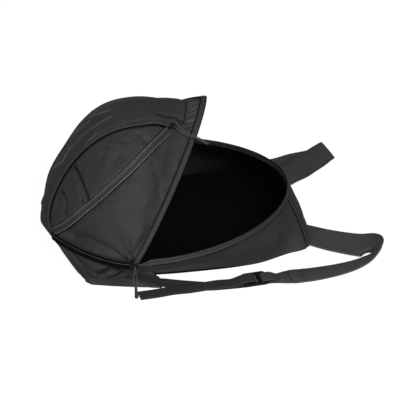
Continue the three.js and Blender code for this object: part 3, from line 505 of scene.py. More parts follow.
# Small creases scattered over each panel: how many, over which stretch, which way they lean, height in mm
lidCreases = {
    "crown": {"count": 16, "along": (0.1, 0.9), "across": (-0.12, 0.26), "lean": 0.7, "height": 0.7},
    "tip": {"count": 8, "along": (0.93, 0.96), "across": (-0.22, 0.25), "lean": 0.5, "height": 0.5},
    "side": {"count": 9, "along": (0.3, 0.9), "across": (-0.45, -0.8), "lean": -0.6, "height": 0.6},
    "gusset": {"count": 20, "along": (0.12, 0.75), "across": (-0.16, -0.38), "lean": 1.9, "height": 1.0},
    "farGusset": {"count": 12, "along": (0.12, 0.75), "across": (-0.34, -0.44), "lean": 1.9, "height": 1.0},
}
# Grooves along each panel's borders, where a tape or a seam pulls the cloth down: distance and depth, mm
lidGrooves = {
    "crown": {"first": (6.2, 1.2), "last": (6.2, 1.2), "end": (0, 1.0)},
    "tip": {"first": (0, 1.0), "last": (0, 1.0), "start": (2.2, 1.6), "end": (4.2, 1.0)},
    "side": {"last": (7.2, 1.4), "end": (4.4, 1.2), "start": (6.0, 1.0)},
    "gusset": {"first": (7.2, 1.4), "last": (3.6, 3.0)},
    "farGusset": {"first": (7.2, 1.4), "last": (3.6, 3.0)},
}


def lidArch(along, across):
    # place on the bare arch: a power-curve half oval in the plane through the sliders and the ridge point
    arch = curveThrough(lidShape["arches"], "along", along)
    part = np.minimum(np.abs(across), 1)
    angle = (1 - part) * np.pi / 2
    rise = np.sin(angle) ** (2 / arch["power"])
    spread = np.cos(angle) ** (2 / arch["power"]) * (1 - arch["flat"]) \
        + arch["flat"] * np.sin(np.minimum(1, part / lidShape["crownShare"]) * np.pi / 2)
    return np.stack([lidShape["hingeX"] + (arch["x"] - lidShape["hingeX"]) * rise,
                     np.sign(across) * lidShape["halfWidth"] * spread,
                     lidShape["hingeZ"] + (arch["z"] - lidShape["hingeZ"]) * rise], -1)


def expansionAt(along, which, side):
    # across place of a tape of one side's expansion zip, without its sign
    rows = curveThrough(lidShape["expansion"], "along", along)
    upper, lower = (rows["farUpper"], rows["farLower"]) if side == "far" else (rows["upper"], rows["lower"])
    return upper if which == "upper" else np.maximum(lower, upper)


# Where cloth is sewn: how far from a border its folds die out, and half the width of a groove, mm
seamShape = {"fade": 5, "groove": 1.5}


def seamed(bare, normal, heights, grooves):
    # heights laid along the normal, times 1 - exp(-(border distance / fade) ^ 2), less a groove of its
    # own depth along each named border at its own distance
    down, over = runLength(bare, 0), runLength(bare, 1)
    borders = {"start": down, "end": down[-1:] - down, "first": over, "last": over[:, -1:] - over}
    nearest = np.minimum.reduce(list(borders.values()))
    total = heights * (1 - np.exp(-(nearest / seamShape["fade"]) ** 2))
    for border, (place, depth) in grooves.items():
        total = total - depth * np.exp(-((borders[border] - place) / seamShape["groove"]) ** 2)
    return bare + normal * total[..., None]


def lidPanel(name, node, grid, span, edges, kind, side="near", mirror=asIs):
    # one panel of the lid over a span of along, between two across curves, rows closest at the bottom
    r, c = np.meshgrid(np.linspace(0, 1, grid[0]), np.linspace(0, 1, grid[1]), indexing="ij")
    a = span[0] + (span[1] - span[0]) * r ** lidShape["crowding"]
    first, second = edges(a, side)
    q = first + (second - first) * c
    bare = lidArch(a, q)
    folds = lidFolds[kind] + scattered(**lidCreases[kind])
    heights, closed = foldHeights(bare, folds, lidArch)
    heights = heights + clothRipple(bare, lidShape["swell"])
    points = seamed(bare, outward(lidArch, a, q), heights, lidGrooves[kind])
    # the tip gets the nylon painted lighter: painted light
    cloth = paintedLighterNylon if kind == "tip" else nylon
    clothPanel(name, mirror(points), node, lidShape["thickness"], [cloth, lining], fold=closed)


def crownEdges(a, side):
    # from the near upper tape over the ridge to the far one
    return -expansionAt(a, "upper", "near") - lap, expansionAt(a, "upper", "far") + lap


def sideEdges(a, side):
    # from the closed zip up to the lower tape
    return np.full_like(a, -lidShape["edge"]), -expansionAt(a, "lower", side) + lap


def gussetEdges(a, side):
    # from the lower tape to the upper one
    return -expansionAt(a, "lower", side) - lap, -expansionAt(a, "upper", side) + lap


start, tipSeam, mouth, lap = (lidShape[key] for key in ("start", "tipSeam", "mouth", "lap"))
lidPanel("crownBand", "crown_panel", (230, 90), (start, tipSeam + lap), crownEdges, "crown")
lidPanel("crownTip", "tip_panel", (36, 120), (tipSeam - lap, mouth), crownEdges, "tip")
for side, mirror in bothSides:
    lidPanel("lidSidePanel_" + side, f"lid_side_{side}", (180, 120), (start, mouth), sideEdges, "side",
             side, mirror)
    lidPanel("gussetPanel_" + side, f"gusset_{side}", (210, 76), lidShape["gusset"], gussetEdges,
             "gusset" if side == "near" else "farGusset", side, mirror)
print("lid sewn")

# Tray: walls between the back panel's outline and the rim
trayShape = {
    "rimCentreX": -61, "rimHalfLength": 229, "rimHalfWidth": 169.8, "rimPower": 1.9,
    "rimZ": 60, "rimRise": 3, "panel": 6, "thickness": 1.6, "topSeam": 1.8, "bottomSeam": 0.22,
    "lap": 0.001, "hem": 0.085, "zipDrop": 0.3, "swell": 0.6, "swellSeed": 1.3,
    "outline": {"at": [0, 0.22, 0.45, 0.65, 1.0, 1.25, 1.5, 1.7, 1.8, 1.9, 2.0],
                "x": [-181, -180, -174, -151, -112, -30, 70, 132, 168, 185, 193],
                "y": [0, -56, -95, -106, -107, -122, -131.5, -118.5, -108, -58, 0],
                "bulge": [4, 3, 2, 3, 2, 4, 5, 4, 3, 3, 3]},
}
# Folds of the wall: lines of (place on the outline, share of the height), then as on the lid. The first
# is the slack belly of the bottom corner, the second the tuck under the closed zip
trayFolds = [
    crease([(0.66, 0.3), (0.85, 0.3), (1.02, 0.32)], 17, 9, 2),
    crease([(0.34, 0.9), (0.5, 0.88), (0.65, 0.86), (0.8, 0.84), (0.93, 0.84)], 3, -4.5, 1.2),
    crease([(0.35, 0.91), (0.392, 0.78), (0.44, 0.63), (0.484, 0.56)], 3.5, -8, 1.2),
    crease([(0.492, 0.97), (0.607, 0.93), (0.716, 0.79), (0.853, 0.63)], 3.5, -8, 1.2),
    crease([(0.304, 0.76), (0.335, 0.42), (0.386, 0.1)], 8, 3, 2),
    crease([(0.63, 0.44), (0.68, 0.53), (0.732, 0.67), (0.853, 0.63)], 3, -6.5, 1.2),
    crease([(0.596, 0.25), (0.657, 0.29)], 3, -2.5, 1.3),
    crease([(0.605, 0.1), (0.668, 0.08), (0.793, 0.3), (0.893, 0.53)], 3, -6.5, 1.2),
    crease([(0.64, 0.35), (0.74, 0.46), (0.85, 0.56)], 5, 3, 1.6),
    crease([(0.6, 0.6), (0.7, 0.72), (0.8, 0.72)], 5, 2.5, 1.6),
    crease([(0.72, 0.05), (0.85, 0.25), (0.95, 0.4)], 7, 2.5, 1.8),
    crease([(1.025, 0.97), (1.077, 0.4), (1.108, 0.14)], 7, -3, 1.6),
    crease([(1.133, 0.63), (1.204, 0.74), (1.298, 0.76)], 5, -1.6, 1.6),
    crease([(1.3, 0.5), (1.55, 0.45), (1.7, 0.5)], 14, 2, 2),
]


def trayRim(at):
    # the closed zip up to the slider, then a power-curve oval round the top end
    zipLine = lidArch(np.zeros_like(at), -np.minimum(at, 1)) - np.array([0, 0, trayShape["zipDrop"]])
    power = trayShape["rimPower"]
    start = -((trayShape["rimCentreX"] - lidShape["hingeX"]) / trayShape["rimHalfLength"]) ** (power / 2)
    angle = np.arccos(start) * (2 - np.maximum(at, 1))
    reach = np.sign(np.cos(angle)) * np.abs(np.cos(angle)) ** (2 / power)
    x = trayShape["rimCentreX"] + trayShape["rimHalfLength"] * reach
    y = -trayShape["rimHalfWidth"] * np.sin(angle) ** (2 / power)
    z = trayShape["rimZ"] + trayShape["rimRise"] * (2 - np.maximum(at, 1)) ** 4
    return np.where((at <= 1)[..., None], zipLine, np.stack([x, y, z], -1))


def levelOut(points):
    # level direction away from the bag's middle
    return unit((points - bagMiddle) * np.array([1.0, 1.0, 0.0]))


def trayBare(at, up):
    # straight rise from outline to rim, bellied outward by half a sine; y flips past either end
    at, up = np.broadcast_arrays(np.asarray(at, float), np.asarray(up, float))
    place = np.where(at < 0, -at, np.where(at > 2, 4 - at, at))
    base = curveThrough(trayShape["outline"], "at", place)
    low = np.stack([base["x"], base["y"], np.full_like(base["x"], trayShape["panel"])], -1)
    points = low + (trayRim(place) - low) * up[..., None]
    points = points + levelOut(points) * (base["bulge"] * np.sin(np.pi * np.clip(up, 0, 1)))[..., None]
    flip = np.where((at < 0) | (at > 2), -1.0, 1.0)
    return points * np.stack([np.ones_like(flip), flip, np.ones_like(flip)], -1)


def trayWall(name, node, grid, span, folds, grooves, mirror=asIs):
    # one wall from its hem under the back panel's top to the rim
    r, c = np.meshgrid(np.linspace(0, 1, grid[0]), np.linspace(0, 1, grid[1]), indexing="ij")
    at, up = span[0] + (span[1] - span[0]) * r, -trayShape["hem"] + (1 + trayShape["hem"]) * c
    bare = trayBare(at, up)
    heights, closed = foldHeights(bare, folds, trayBare)
    heights = heights + clothRipple(bare, trayShape["swell"], trayShape["swellSeed"])
    points = seamed(bare, levelOut(bare), heights, grooves)
    clothPanel(name, mirror(points), node, trayShape["thickness"], [nylon, lining], fold=closed)


topSeam, bottomSeam, wallLap = trayShape["topSeam"], trayShape["bottomSeam"], trayShape["lap"]
trayWall("topEnd", "top_end_wall", (90, 36), (topSeam - wallLap, 4 - topSeam + wallLap), [],
         {"start": (5, 1.2), "end": (5, 1.2), "last": (1.2, 1.6)})
trayWall("bottomEnd", "bottom_end_wall", (60, 36), (-bottomSeam - wallLap, bottomSeam + wallLap), [],
         {"start": (0, 0.8), "end": (0, 0.8)})
for side, mirror in bothSides:
    trayWall("sideWall_" + side, f"side_wall_{side}", (330, 52), (bottomSeam - wallLap, topSeam + wallLap),
             trayFolds, {"start": (0, 0.8), "end": (5, 1.2), "last": (1.2, 1.6)}, mirror)
print("tray sewn")

# Back panel: a foam slab inside the walls, flat below and softly quilted above. A channel's groove is
# given as a share of the channel's wave, and the quilting fades out over the last eighth
backShape = {"inset": 0.6, "height": 6.0, "edge": 2.5, "edgeSteps": 9, "rings": 40, "around": 220,
             "quilt": 0.7, "channel": 70, "groove": 0.08, "fade": 8}


def backPanel():
    # rings from the middle of the top, over a round edge, to the middle of the flat underside
    turn = np.linspace(0, 4, backShape["around"], endpoint=False)
    place = np.where(turn > 2, 4 - turn, turn)
    rows = curveThrough(trayShape["outline"], "at", place)
    rim = np.stack([rows["x"], np.where(turn > 2, -1, 1) * rows["y"]], -1)
    rim = rim - unit(rim) * backShape["inset"]
    share = np.linspace(0, 1, backShape["rings"])
    edge = np.linspace(0, np.pi, backShape["edgeSteps"])[1:-1]
    inset = np.concatenate([share, np.ones(len(edge)), share[::-1]])
    bead = np.concatenate([np.zeros(len(share)), np.sin(edge) * backShape["edge"], np.zeros(len(share))])
    tall = backShape["height"]
    z = np.concatenate([np.full(len(share), tall), tall * (1 + np.cos(edge)) / 2, np.zeros(len(share))])
    pulledIn = bead - backShape["edge"] * inset
    xy = rim[None] * inset[:, None, None] + unit(rim)[None] * pulledIn[:, None, None]
    top = (np.arange(len(z)) < len(share))[:, None]
    wave = np.minimum(np.abs(np.sin(np.pi * xy[..., 0] / backShape["channel"])),
                      np.abs(np.sin(np.pi * xy[..., 1] / backShape["channel"])))
    fade = np.clip((1 - inset) * backShape["fade"], 0, 1)[:, None]
    height = z[:, None] - backShape["quilt"] * top * fade * np.exp(-(wave / backShape["groove"]) ** 2)
    points = np.concatenate([xy, np.broadcast_to(height, xy.shape[:2])[..., None]], -1)
    piece = meshPiece("backPad", points, gridFaces(*points.shape[:2], wrap=True), [lining],
                      points[..., :2] * millimetre)
    work = bmesh.new()
    work.from_mesh(piece.data)
    bmesh.ops.remove_doubles(work, verts=work.verts, dist=1e-5)
    bmesh.ops.recalc_face_normals(work, faces=work.faces)
    work.to_mesh(piece.data)
    work.free()
    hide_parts("back_panel")


backPanel()
print("back panel made")

# Zips: profiles of each tape across its run, in mm, and the sizes of coil and stitches
roundTurn = np.linspace(0, 2 * np.pi, 8, endpoint=False)
zipShape = {
    "upper": {"across": [-4.8, -4.7, -4.1, -2.2, 0.2, 1.3, 1.7, 1.7, 0, -2.5],
              "up": [0, 0.8, 1.3, 1.6, 1.6, 1.3, 0.8, 0, 0, 0]},
    "lower": {"across": [-5.6, -5.5, -4.9, -3.5, -0.8, 0, 0.8, 3.5, 4.9, 5.5, 5.6, 3, -3],
              "up": [0, 0.9, 1.3, 1.4, 1.3, 0.8, 1.3, 1.4, 1.3, 0.9, 0, 0, 0]},
    "closed": {"across": [-4.6, -4.5, -3.9, -0.6, 0, 0.6, 3.9, 4.5, 4.6],
               "up": [0, 0.8, 1.2, 1.3, 0.9, 1.3, 1.2, 0.8, 0]},
    "edge": {"across": [-4.6, -4.5, -3.9, -2.6, -1.5, -0.9, -0.3, 0.4, 2.2, 3.9, 4.3, 4.3, 0, -3],
             "up": [0, 0.8, 1.4, 1.55, 1.3, 0.55, 0.55, 1.05, 1.15, 1.05, 0.8, 0, 0, 0]},
    "mouth": {"across": [-3.0, -2.9, -2.3, -1.4, -0.6, 0.0, 0.5, 1.1, 2.4, 3.9, 4.3, 4.3, 0, -2],
              "up": [0, 0.8, 1.4, 1.55, 1.3, 0.7, 0.7, 1.05, 1.15, 1.05, 0.8, 0, 0, 0]},
    "coil": {"across": np.cos(roundTurn), "up": np.sin(roundTurn)},
    "toothPitch": 2.2, "toothSteps": 4, "stitch": 3.2, "stitchGap": 1.2, "stitchStart": 0.5,
    "threadRadius": 0.35, "threadSides": 6,
    # first place, last place and steps of each tape's path, and how far it lies off the cloth, mm
    "openRun": (0.022, 0.846, 240), "closedRun": (0.235, 0.955, 200), "mouthRun": (-0.96, 0.96, 420),
    "rimRun": (1.012, 2.988, 420), "upperLift": 0.2, "lowerLift": 0.1, "closedLift": 0.5, "mouthLift": 0.5,
    # places that the tapes' sides are turned to: the middle of each gusset, and past the top end
    "gussetMiddle": {"near": (0.44, -0.3), "far": (0.44, -0.4)}, "pastTopEnd": (500, 0, 200),
    # the rim's tape leans in, stands on the wall and narrows at its ends
    "rimLean": 0.3, "rimLift": 3.2, "rimInset": 0.2, "rimTaper": 0.05, "rimLeast": 0.25, "rimBare": 12,
    # stitches by place across and above the tape, mm
    "lowerStitch": (0, 0.95), "mouthStitch": (0.25, 0.75), "rimStitch": (-0.6, 0.6),
    # beads by place across and above the tape, and radius, mm
    "upperCoil": (3.0, -0.2, 1.5),
    # black beads below, other than the coils, paint the shade along the tapes' edges
    "lowerShadowBeads": {"inner": (5.9, 0.2, 0.85), "outer": (-5.9, 0.2, 0.85)},
    # pale beads on the lower tape's edges: painted highlights
    "lowerEdgeHighlights": {"inner": (4.602, 1.15, 0.5), "outer": (-4.602, 1.15, 0.5)},
    "closedLip": (2.2, 1.1, 0.7), "closedShadowBeads": {"low": (-5.1, 0.3, 1.6), "high": (4.9, 0.3, 0.7)},
    "mouthCoil": (4.9, 0.5, 1.0), "mouthShadowBead": (-3.4, 0.2, 0.8),
    "rimCoil": (4.9, 0.5, 1.0), "rimShadowBead": (-4.7, 0.6, 0.9),
}


def moved(path, across, lift):
    # a path shifted by so many mm along its side and up directions
    points, side, up = path
    return points + side * across + up * lift, side, up


def flipped(path, mirror):
    # points and directions of a path, all mirrored or none
    return tuple(mirror(part) for part in path)


def beadAlong(name, path, bead, material=coilAndShadeBlack):
    # zip coil, or a round bead of painted shade or highlight by a tape, its size beating once for each tooth
    # or stitch
    across, lift, radius = bead
    path = moved(path, across, lift)
    run = runLength(path[0])
    even = np.linspace(0, run[-1], int(run[-1] / zipShape["toothPitch"] * zipShape["toothSteps"]))
    points, side, up = (np.stack([np.interp(even, run, part[:, i]) for i in range(3)], -1) for part in path)
    beat = radius * (0.8 + 0.2 * np.cos(2 * np.pi * even / zipShape["toothPitch"]))
    sweptPiece(name, (points, unit(side), unit(up)), zipShape["coil"], [material], None,
               np.stack([beat, beat], -1))


def stitchRow(name, path, place, material=threadFibre):
    # lozenge-shaped stitches of equal length: a point, two rings and a point
    points, _, up = moved(path, *place)
    run = runLength(points)
    pitch = zipShape["stitch"] + zipShape["stitchGap"]
    start = np.arange(zipShape["stitchStart"], run[-1] - zipShape["stitch"], pitch)
    a, b = (np.stack([np.interp(where, run, points[:, i]) for i in range(3)], -1)
            for where in (start, start + zipShape["stitch"]))
    lift = unit(np.stack([np.interp(start, run, up[:, i]) for i in range(3)], -1))
    across = np.cross(unit(b - a), lift)
    sides = zipShape["threadSides"]
    angle = np.linspace(0, 2 * np.pi, sides, endpoint=False)[None, :, None]
    circle = zipShape["threadRadius"] * (np.cos(angle) * across[:, None] + np.sin(angle) * lift[:, None])
    rings = [(a + (b - a) * share)[:, None] + circle for share in (0.2, 0.8)]
    body = np.concatenate([a[:, None], *rings, b[:, None]], 1)
    k, n = np.arange(sides), np.roll(np.arange(sides), -1)
    firstRing, secondRing, last = 1, 1 + sides, 1 + 2 * sides
    one = np.concatenate([np.stack([0 * k, firstRing + n, firstRing + k], -1),
                          np.stack([firstRing + k, firstRing + n, secondRing + n], -1),
                          np.stack([firstRing + k, secondRing + n, secondRing + k], -1),
                          np.stack([0 * k + last, secondRing + k, secondRing + n], -1)])
    corners = body[0][one] - body[0].mean(0)
    volume = (corners[:, 0] * np.cross(corners[:, 1], corners[:, 2])).sum()
    one = one if volume > 0 else one[:, ::-1]
    faces = (np.arange(len(start))[:, None, None] * (last + 1) + one).reshape(-1, 3)
    piece = meshPiece(name, body, faces, [material], np.zeros((body.shape[0] * (last + 1), 2)))


def tapePath(surface, p, q, lift, towards):
    # a path lifted off a surface, its sideways direction turned towards a place, and its outward normal
    normal = outward(surface, p, q)
    points = surface(p, q) + normal * lift
    side = unit(np.cross(np.gradient(points, axis=0), normal))
    middle = len(points) // 2
    turn = np.sign((side[middle] * (np.asarray(towards) - points[middle])).sum())
    return points, side * turn, normal


for side, mirror in bothSides:
    along = np.linspace(*zipShape["openRun"])
    gussetMiddle = lidArch(*np.array(zipShape["gussetMiddle"][side]))
    upperLine = -expansionAt(along, "upper", side)
    upper = flipped(tapePath(lidArch, along, upperLine, zipShape["upperLift"], gussetMiddle), mirror)
    sweptPiece("upperTape_" + side, upper, zipShape["upper"], [zipTapeCloth],
               f"upper_expansion_tape_{side}")
    beadAlong("upperCoil_" + side, upper, zipShape["upperCoil"])
    lowerLine = -expansionAt(along, "lower", side)
    lower = flipped(tapePath(lidArch, along, lowerLine, zipShape["lowerLift"], gussetMiddle), mirror)
    sweptPiece("lowerTape_" + side, lower, zipShape["lower"], [zipTapeCloth],
               f"lower_expansion_tape_{side}")
    for edge in ("inner", "outer"):
        beadAlong(f"lowerShadowBead_{side}_{edge}", lower, zipShape["lowerShadowBeads"][edge])
        beadAlong(f"lowerEdgeHighlight_{side}_{edge}", lower, zipShape["lowerEdgeHighlights"][edge], material=edgeHighlight)
    stitchRow("lowerStitch_" + side, lower, zipShape["lowerStitch"], coilAndShadeBlack)
    # closed stretch of the main zip, upright on the edge where lid and tray meet
    across = np.linspace(*zipShape["closedRun"])
    points = lidArch(np.zeros_like(across), -across)
    run = unit(np.gradient(points, axis=0))
    normal = np.cross(run, np.array([0, 0, 1.0]))
    normal = unit(normal * np.sign((normal * (points - bagMiddle)).sum(-1, keepdims=True)))
    rising = np.cross(normal, run)
    rising = rising * np.sign(rising[:, 2:])
    closed = flipped((points + normal * zipShape["closedLift"], rising, normal), mirror)
    # the closed tape takes the coil's black: painted shade of the tuck it lies in
    sweptPiece("closedZip_" + side, closed, zipShape["closed"], [coilAndShadeBlack],
               f"closed_zip_{side}")
    beadAlong("closedLip_" + side, closed, zipShape["closedLip"], material=threadFibre)
    for edge in ("low", "high"):
        beadAlong(f"closedShadowBead_{side}_{edge}", closed, zipShape["closedShadowBeads"][edge])

# Open stretch of the main zip: one tape on the lid's mouth, one standing on the tray's rim
across = np.linspace(*zipShape["mouthRun"])
mouthLine = np.full_like(across, mouth)
mouthPath = tapePath(lidArch, mouthLine, across, zipShape["mouthLift"], zipShape["pastTopEnd"])
sweptPiece("mouthTape", mouthPath, zipShape["mouth"], [zipTapeCloth], "mouth_tape")
beadAlong("mouthCoil", mouthPath, zipShape["mouthCoil"])
beadAlong("mouthShadowBead", mouthPath, zipShape["mouthShadowBead"])
stitchRow("mouthStitch", mouthPath, zipShape["mouthStitch"])
at = np.linspace(*zipShape["rimRun"])
points = trayBare(at, 1.0)
inward = -levelOut(points)
rising = unit(np.array([0, 0, 1.0]) + zipShape["rimLean"] * inward)
outer = np.cross(rising, unit(np.gradient(points, axis=0)))
outer = outer * np.sign((outer * -inward).sum(-1, keepdims=True))
grown = np.clip(np.minimum(at - at[0], at[-1] - at) / zipShape["rimTaper"], zipShape["rimLeast"], 1)
points = points + rising * (zipShape["rimLift"] * grown)[:, None] + inward * zipShape["rimInset"]
rimPath = (points, rising, outer)
sweptPiece("rimTape", rimPath, zipShape["edge"], [zipTapeCloth], "rim_tape",
           np.stack([grown, np.ones_like(grown)], -1))
rimInner = tuple(part[zipShape["rimBare"]:-zipShape["rimBare"]] for part in rimPath)
beadAlong("rimCoil", rimInner, zipShape["rimCoil"])
beadAlong("rimShadowBead", rimInner, zipShape["rimShadowBead"])
stitchRow("rimStitch", rimInner, zipShape["rimStitch"])
print("zips laid")

# Bound seams where the side walls meet the top end: a folded strip with a groove along each edge
bindShape = {"across": [-3.8, -3.7, -3.2, -2.6, -2.2, -1.6, 0, 1.6, 2.2, 2.6, 3.2, 3.7, 3.8, 0],
             "up": [0, 0.8, 1.2, 1.2, 0.6, 1.2, 1.4, 1.2, 0.6, 1.2, 1.2, 0.8, 0, 0],
             "run": (-0.06, 0.97, 60), "turnedTo": (500, 0, 0),
             "edges": {"wall": (-4.2, 0.2, 0.8), "end": (4.2, 0.2, 0.8)}}
for side, mirror in bothSides:
    up = np.linspace(*bindShape["run"])
    bound = tapePath(trayBare, np.full_like(up, topSeam), up, 0.0, bindShape["turnedTo"])
    bound = flipped(bound, mirror)
    sweptPiece("boundSeam_" + side, bound, bindShape, [nylon])
    # black beads beside the strip's edges: painted shade of the seam
    for edge, bead in bindShape["edges"].items():
        beadAlong(f"boundShadowBead_{side}_{edge}", bound, bead)
print("seams bound")

# Straps: middle line, direction of travel, tilt about it and width, as rows along the strap. The first
# row is the sewn end inside the wall
strapShape = {
    "thickness": 4.0, "steps": 380,
    # cross stitches near the narrow end: their x, how wide and deep they pinch the padding, their bead
    "crossStitch": (113, 132), "pinchWidth": 1.6, "pinch": 0.4, "narrowSide": -160,
    "seamReach": 0.46, "seamSteps": 12, "seamBead": (0, 1.3, 0.7),
    # stitches along both hems: share of half the width, height, and steps left bare at each end
    "stitchLine": 0.81, "stitchLift": 1.25, "stitched": (16, -6),
    "near": {"x": [162, 181, 203, 226.5, 240, 249.5, 253.5, 254.5, 249, 236, 215, 186, 150, 122, 110, 96.2],
             "y": [-72, -88.5, -108.6, -127.3, -138.5, -148.5, -158.5, -167.5, -174, -178.5, -182.3,
                   -183.4, -181.4, -178, -176.7, -175.4],
             "z": [2.6, 2.6, 3.2, 4.6, 7, 12, 17, 18.2, 15.5, 10.5, 6.8, 4.4, 2.8, 2.5, 2.5, 2.5],
             "heading": [-25.7, -25.7, -27, -29.5, -36, -55, -105, -160, -181, -185, -184, -181, -180,
                         -181, -182, -183],
             "roll": [0, 0, 1, 3, 9, 27, 50, 56, 44, 28, 17, 8, 1.5, 0, 0, 0],
             "width": [50, 51, 52, 52, 49, 44, 39, 37, 35, 33, 31, 30, 30, 31, 28, 21]},
    "far": {"x": [172, 189, 206, 226.7, 245.6, 267.6, 288, 301.5, 293, 270, 235, 200, 172, 148, 126, 112,
                  96.2],
            "y": [-73, -77, -81, -88.2, -100.3, -113.2, -126.8, -136.8, -131.5, -127.5, -126.5, -122.5,
                  -129, -146, -165, -173, -175.4],
            "z": [2.6, 2.6, 6.4, 7.4, 7.6, 7.6, 7.4, 5.2, 2.6, 2.5, 2.5, 2.5, 2.5, 2.5, 2.5, 2.5, 2.5],
            "heading": [-24.5, -24.5, -21, -20, -22, -18, -9, -2, -3, -4, -3, 4, 22, 38, 34, 18, -3],
            "roll": [0] * 17,
            "width": [52, 52, 52, 52, 53, 53, 54, 55, 47, 44, 41, 36, 32, 31, 31, 28, 21]},
    # half a section over half the width and half the thickness: hem, stitched groove, padded middle
    "across": [-1, -0.985, -0.93, -0.84, -0.81, -0.77, -0.45, 0, 0.45, 0.77, 0.81, 0.84, 0.93, 0.985],
    "up": [0, 0.6, 0.85, 0.85, 0.6, 0.85, 0.98, 1, 0.98, 0.85, 0.6, 0.85, 0.85, 0.6],
}


def strapPath(table, count):
    # middle points, sideways and upward directions of a strap through its rows, and the rows between them
    rows = dict(table, place=np.arange(len(table["x"])))
    row = curveThrough(rows, "place", np.linspace(0, len(table["x"]) - 1, count))
    points = np.stack([row["x"], row["y"], row["z"]], -1)
    heading, roll = np.radians(row["heading"]), np.radians(row.get("roll", 0 * row["x"]))
    side = np.stack([-np.sin(heading) * np.cos(roll), np.cos(heading) * np.cos(roll), np.sin(roll)], -1)
    side = unit(side)
    return (points, side, unit(np.cross(np.gradient(points, axis=0), side))), row


for side, mirror in bothSides:
    path, row = strapPath(strapShape[side], strapShape["steps"])
    across, up = np.array(strapShape["across"]), np.array(strapShape["up"])
    section = {"across": np.concatenate([across, -across]), "up": np.concatenate([up, -up])}
    narrow = row["y"] < strapShape["narrowSide"]
    pinch = sum(np.exp(-((row["x"] - x) / strapShape["pinchWidth"]) ** 2) * narrow
                for x in strapShape["crossStitch"])
    thick = strapShape["thickness"] / 2 * (1 - strapShape["pinch"] * pinch)
    laid = flipped(path, mirror)
    # the strap gets the nylon painted lighter: painted light
    strap = sweptPiece("strap_" + side, laid, section, [paintedLighterNylon], f"shoulder_strap_{side}",
                       np.stack([row["width"] / 2, thick], -1))
    cut = slice(*strapShape["stitched"])
    for edge, edgeName in ((-1, "inner"), (1, "outer")):
        hem = edge * strapShape["stitchLine"] * row["width"][cut, None] / 2
        stitchRow(f"strapStitch_{side}_{edgeName}", tuple(part[cut] for part in laid),
                  (hem, strapShape["stitchLift"]))
    half, steps, reach = strapShape["steps"] // 2, strapShape["seamSteps"], strapShape["seamReach"]
    for x in strapShape["crossStitch"]:
        k = half + np.abs(row["x"][half:] - x).argmin()
        spread = np.linspace(-reach, reach, steps)[:, None] * row["width"][k]
        middle, across, up = (np.tile(part[k], (steps, 1)) for part in laid)
        seam = (middle + across * spread, across, up)
        beadAlong(f"strapSeam_{side}_{x}", seam, strapShape["seamBead"])

# Webbing: flat ribbed ribbon of 20 mm, from the tab through the ladder lock and back, and the lock's loop
webbingShape = {
    "across": [-10, -9.9, -9.2, -6.4, -6, -5.6, -0.4, 0, 0.4, 5.6, 6, 6.4, 9.2, 9.9, 10, 9.9, 9.2, 0,
               -9.2, -9.9],
    "up": [0, 0.4, 0.6, 0.6, 0.42, 0.6, 0.6, 0.42, 0.6, 0.6, 0.42, 0.6, 0.6, 0.4, 0, -0.4, -0.6, -0.6,
           -0.6, -0.4],
    "width": 20, "steps": 260,
}
webbingRoutes = {
    "lowerWebbing": {
        "node": "lower_webbing", "held": "laid", "cloth": webbingCloth,
        "x": [-84, -68.3, -50, -28, -6, 18, 42, 56, 60.6, 62.3, 61, 57.5, 51, 43, 35, 27, 10, -10, -36,
              -60, -80, -107],
        "y": [-131, -134.8, -143, -153, -162, -166.5, -169.8, -171.1, -171.4, -171.5, -171.4, -171.2,
              -170.9, -170.4, -169.6, -168, -164, -163.2, -162, -158.8, -157, -154.8],
        "z": [1.6, 1.6, 1, 1, 1, 1, 1, 1.2, 2.4, 5.6, 8.6, 9.8, 9.9, 9, 6.2, 3.6, 2.8, 2.8, 2.8, 2.6,
              1.3, 1],
        "heading": [-9, -9, -24, -24, -17, -9, -5, -3.5, -3.5, -3.5, -3.5, -3.5, -3.5, -3, -3, 0, 4, 2,
                    4, 6, 5, 4]},
    "buckleLoop": {
        "node": "buckle_loop", "held": "folded", "cloth": paintedLighterNylon,
        "x": [95.6, 86, 76, 72, 70.9, 72.3, 76.5, 85, 90.5, 95.6],
        "y": [-175.1, -174.2, -173.2, -172.8, -172.7, -172.8, -173.2, -174.1, -174.6, -175.1],
        "z": [1.3, 2.6, 3, 4.3, 6.2, 8, 8.8, 8.5, 6.2, 3.7],
        "heading": [-3.5] * 10},
}
for side, mirror in bothSides:
    for name, route in webbingRoutes.items():
        table = {key: route[key] for key in ("x", "y", "z", "heading")}
        path, row = strapPath(table, webbingShape["steps"])
        laid = flipped(path, mirror)
        ribbon = sweptPiece(f"{name}_{side}", laid, webbingShape, [route["cloth"]],
                            f"{route['node']}_{side}")
        length = runLength(path[0])[-1] * millimetre

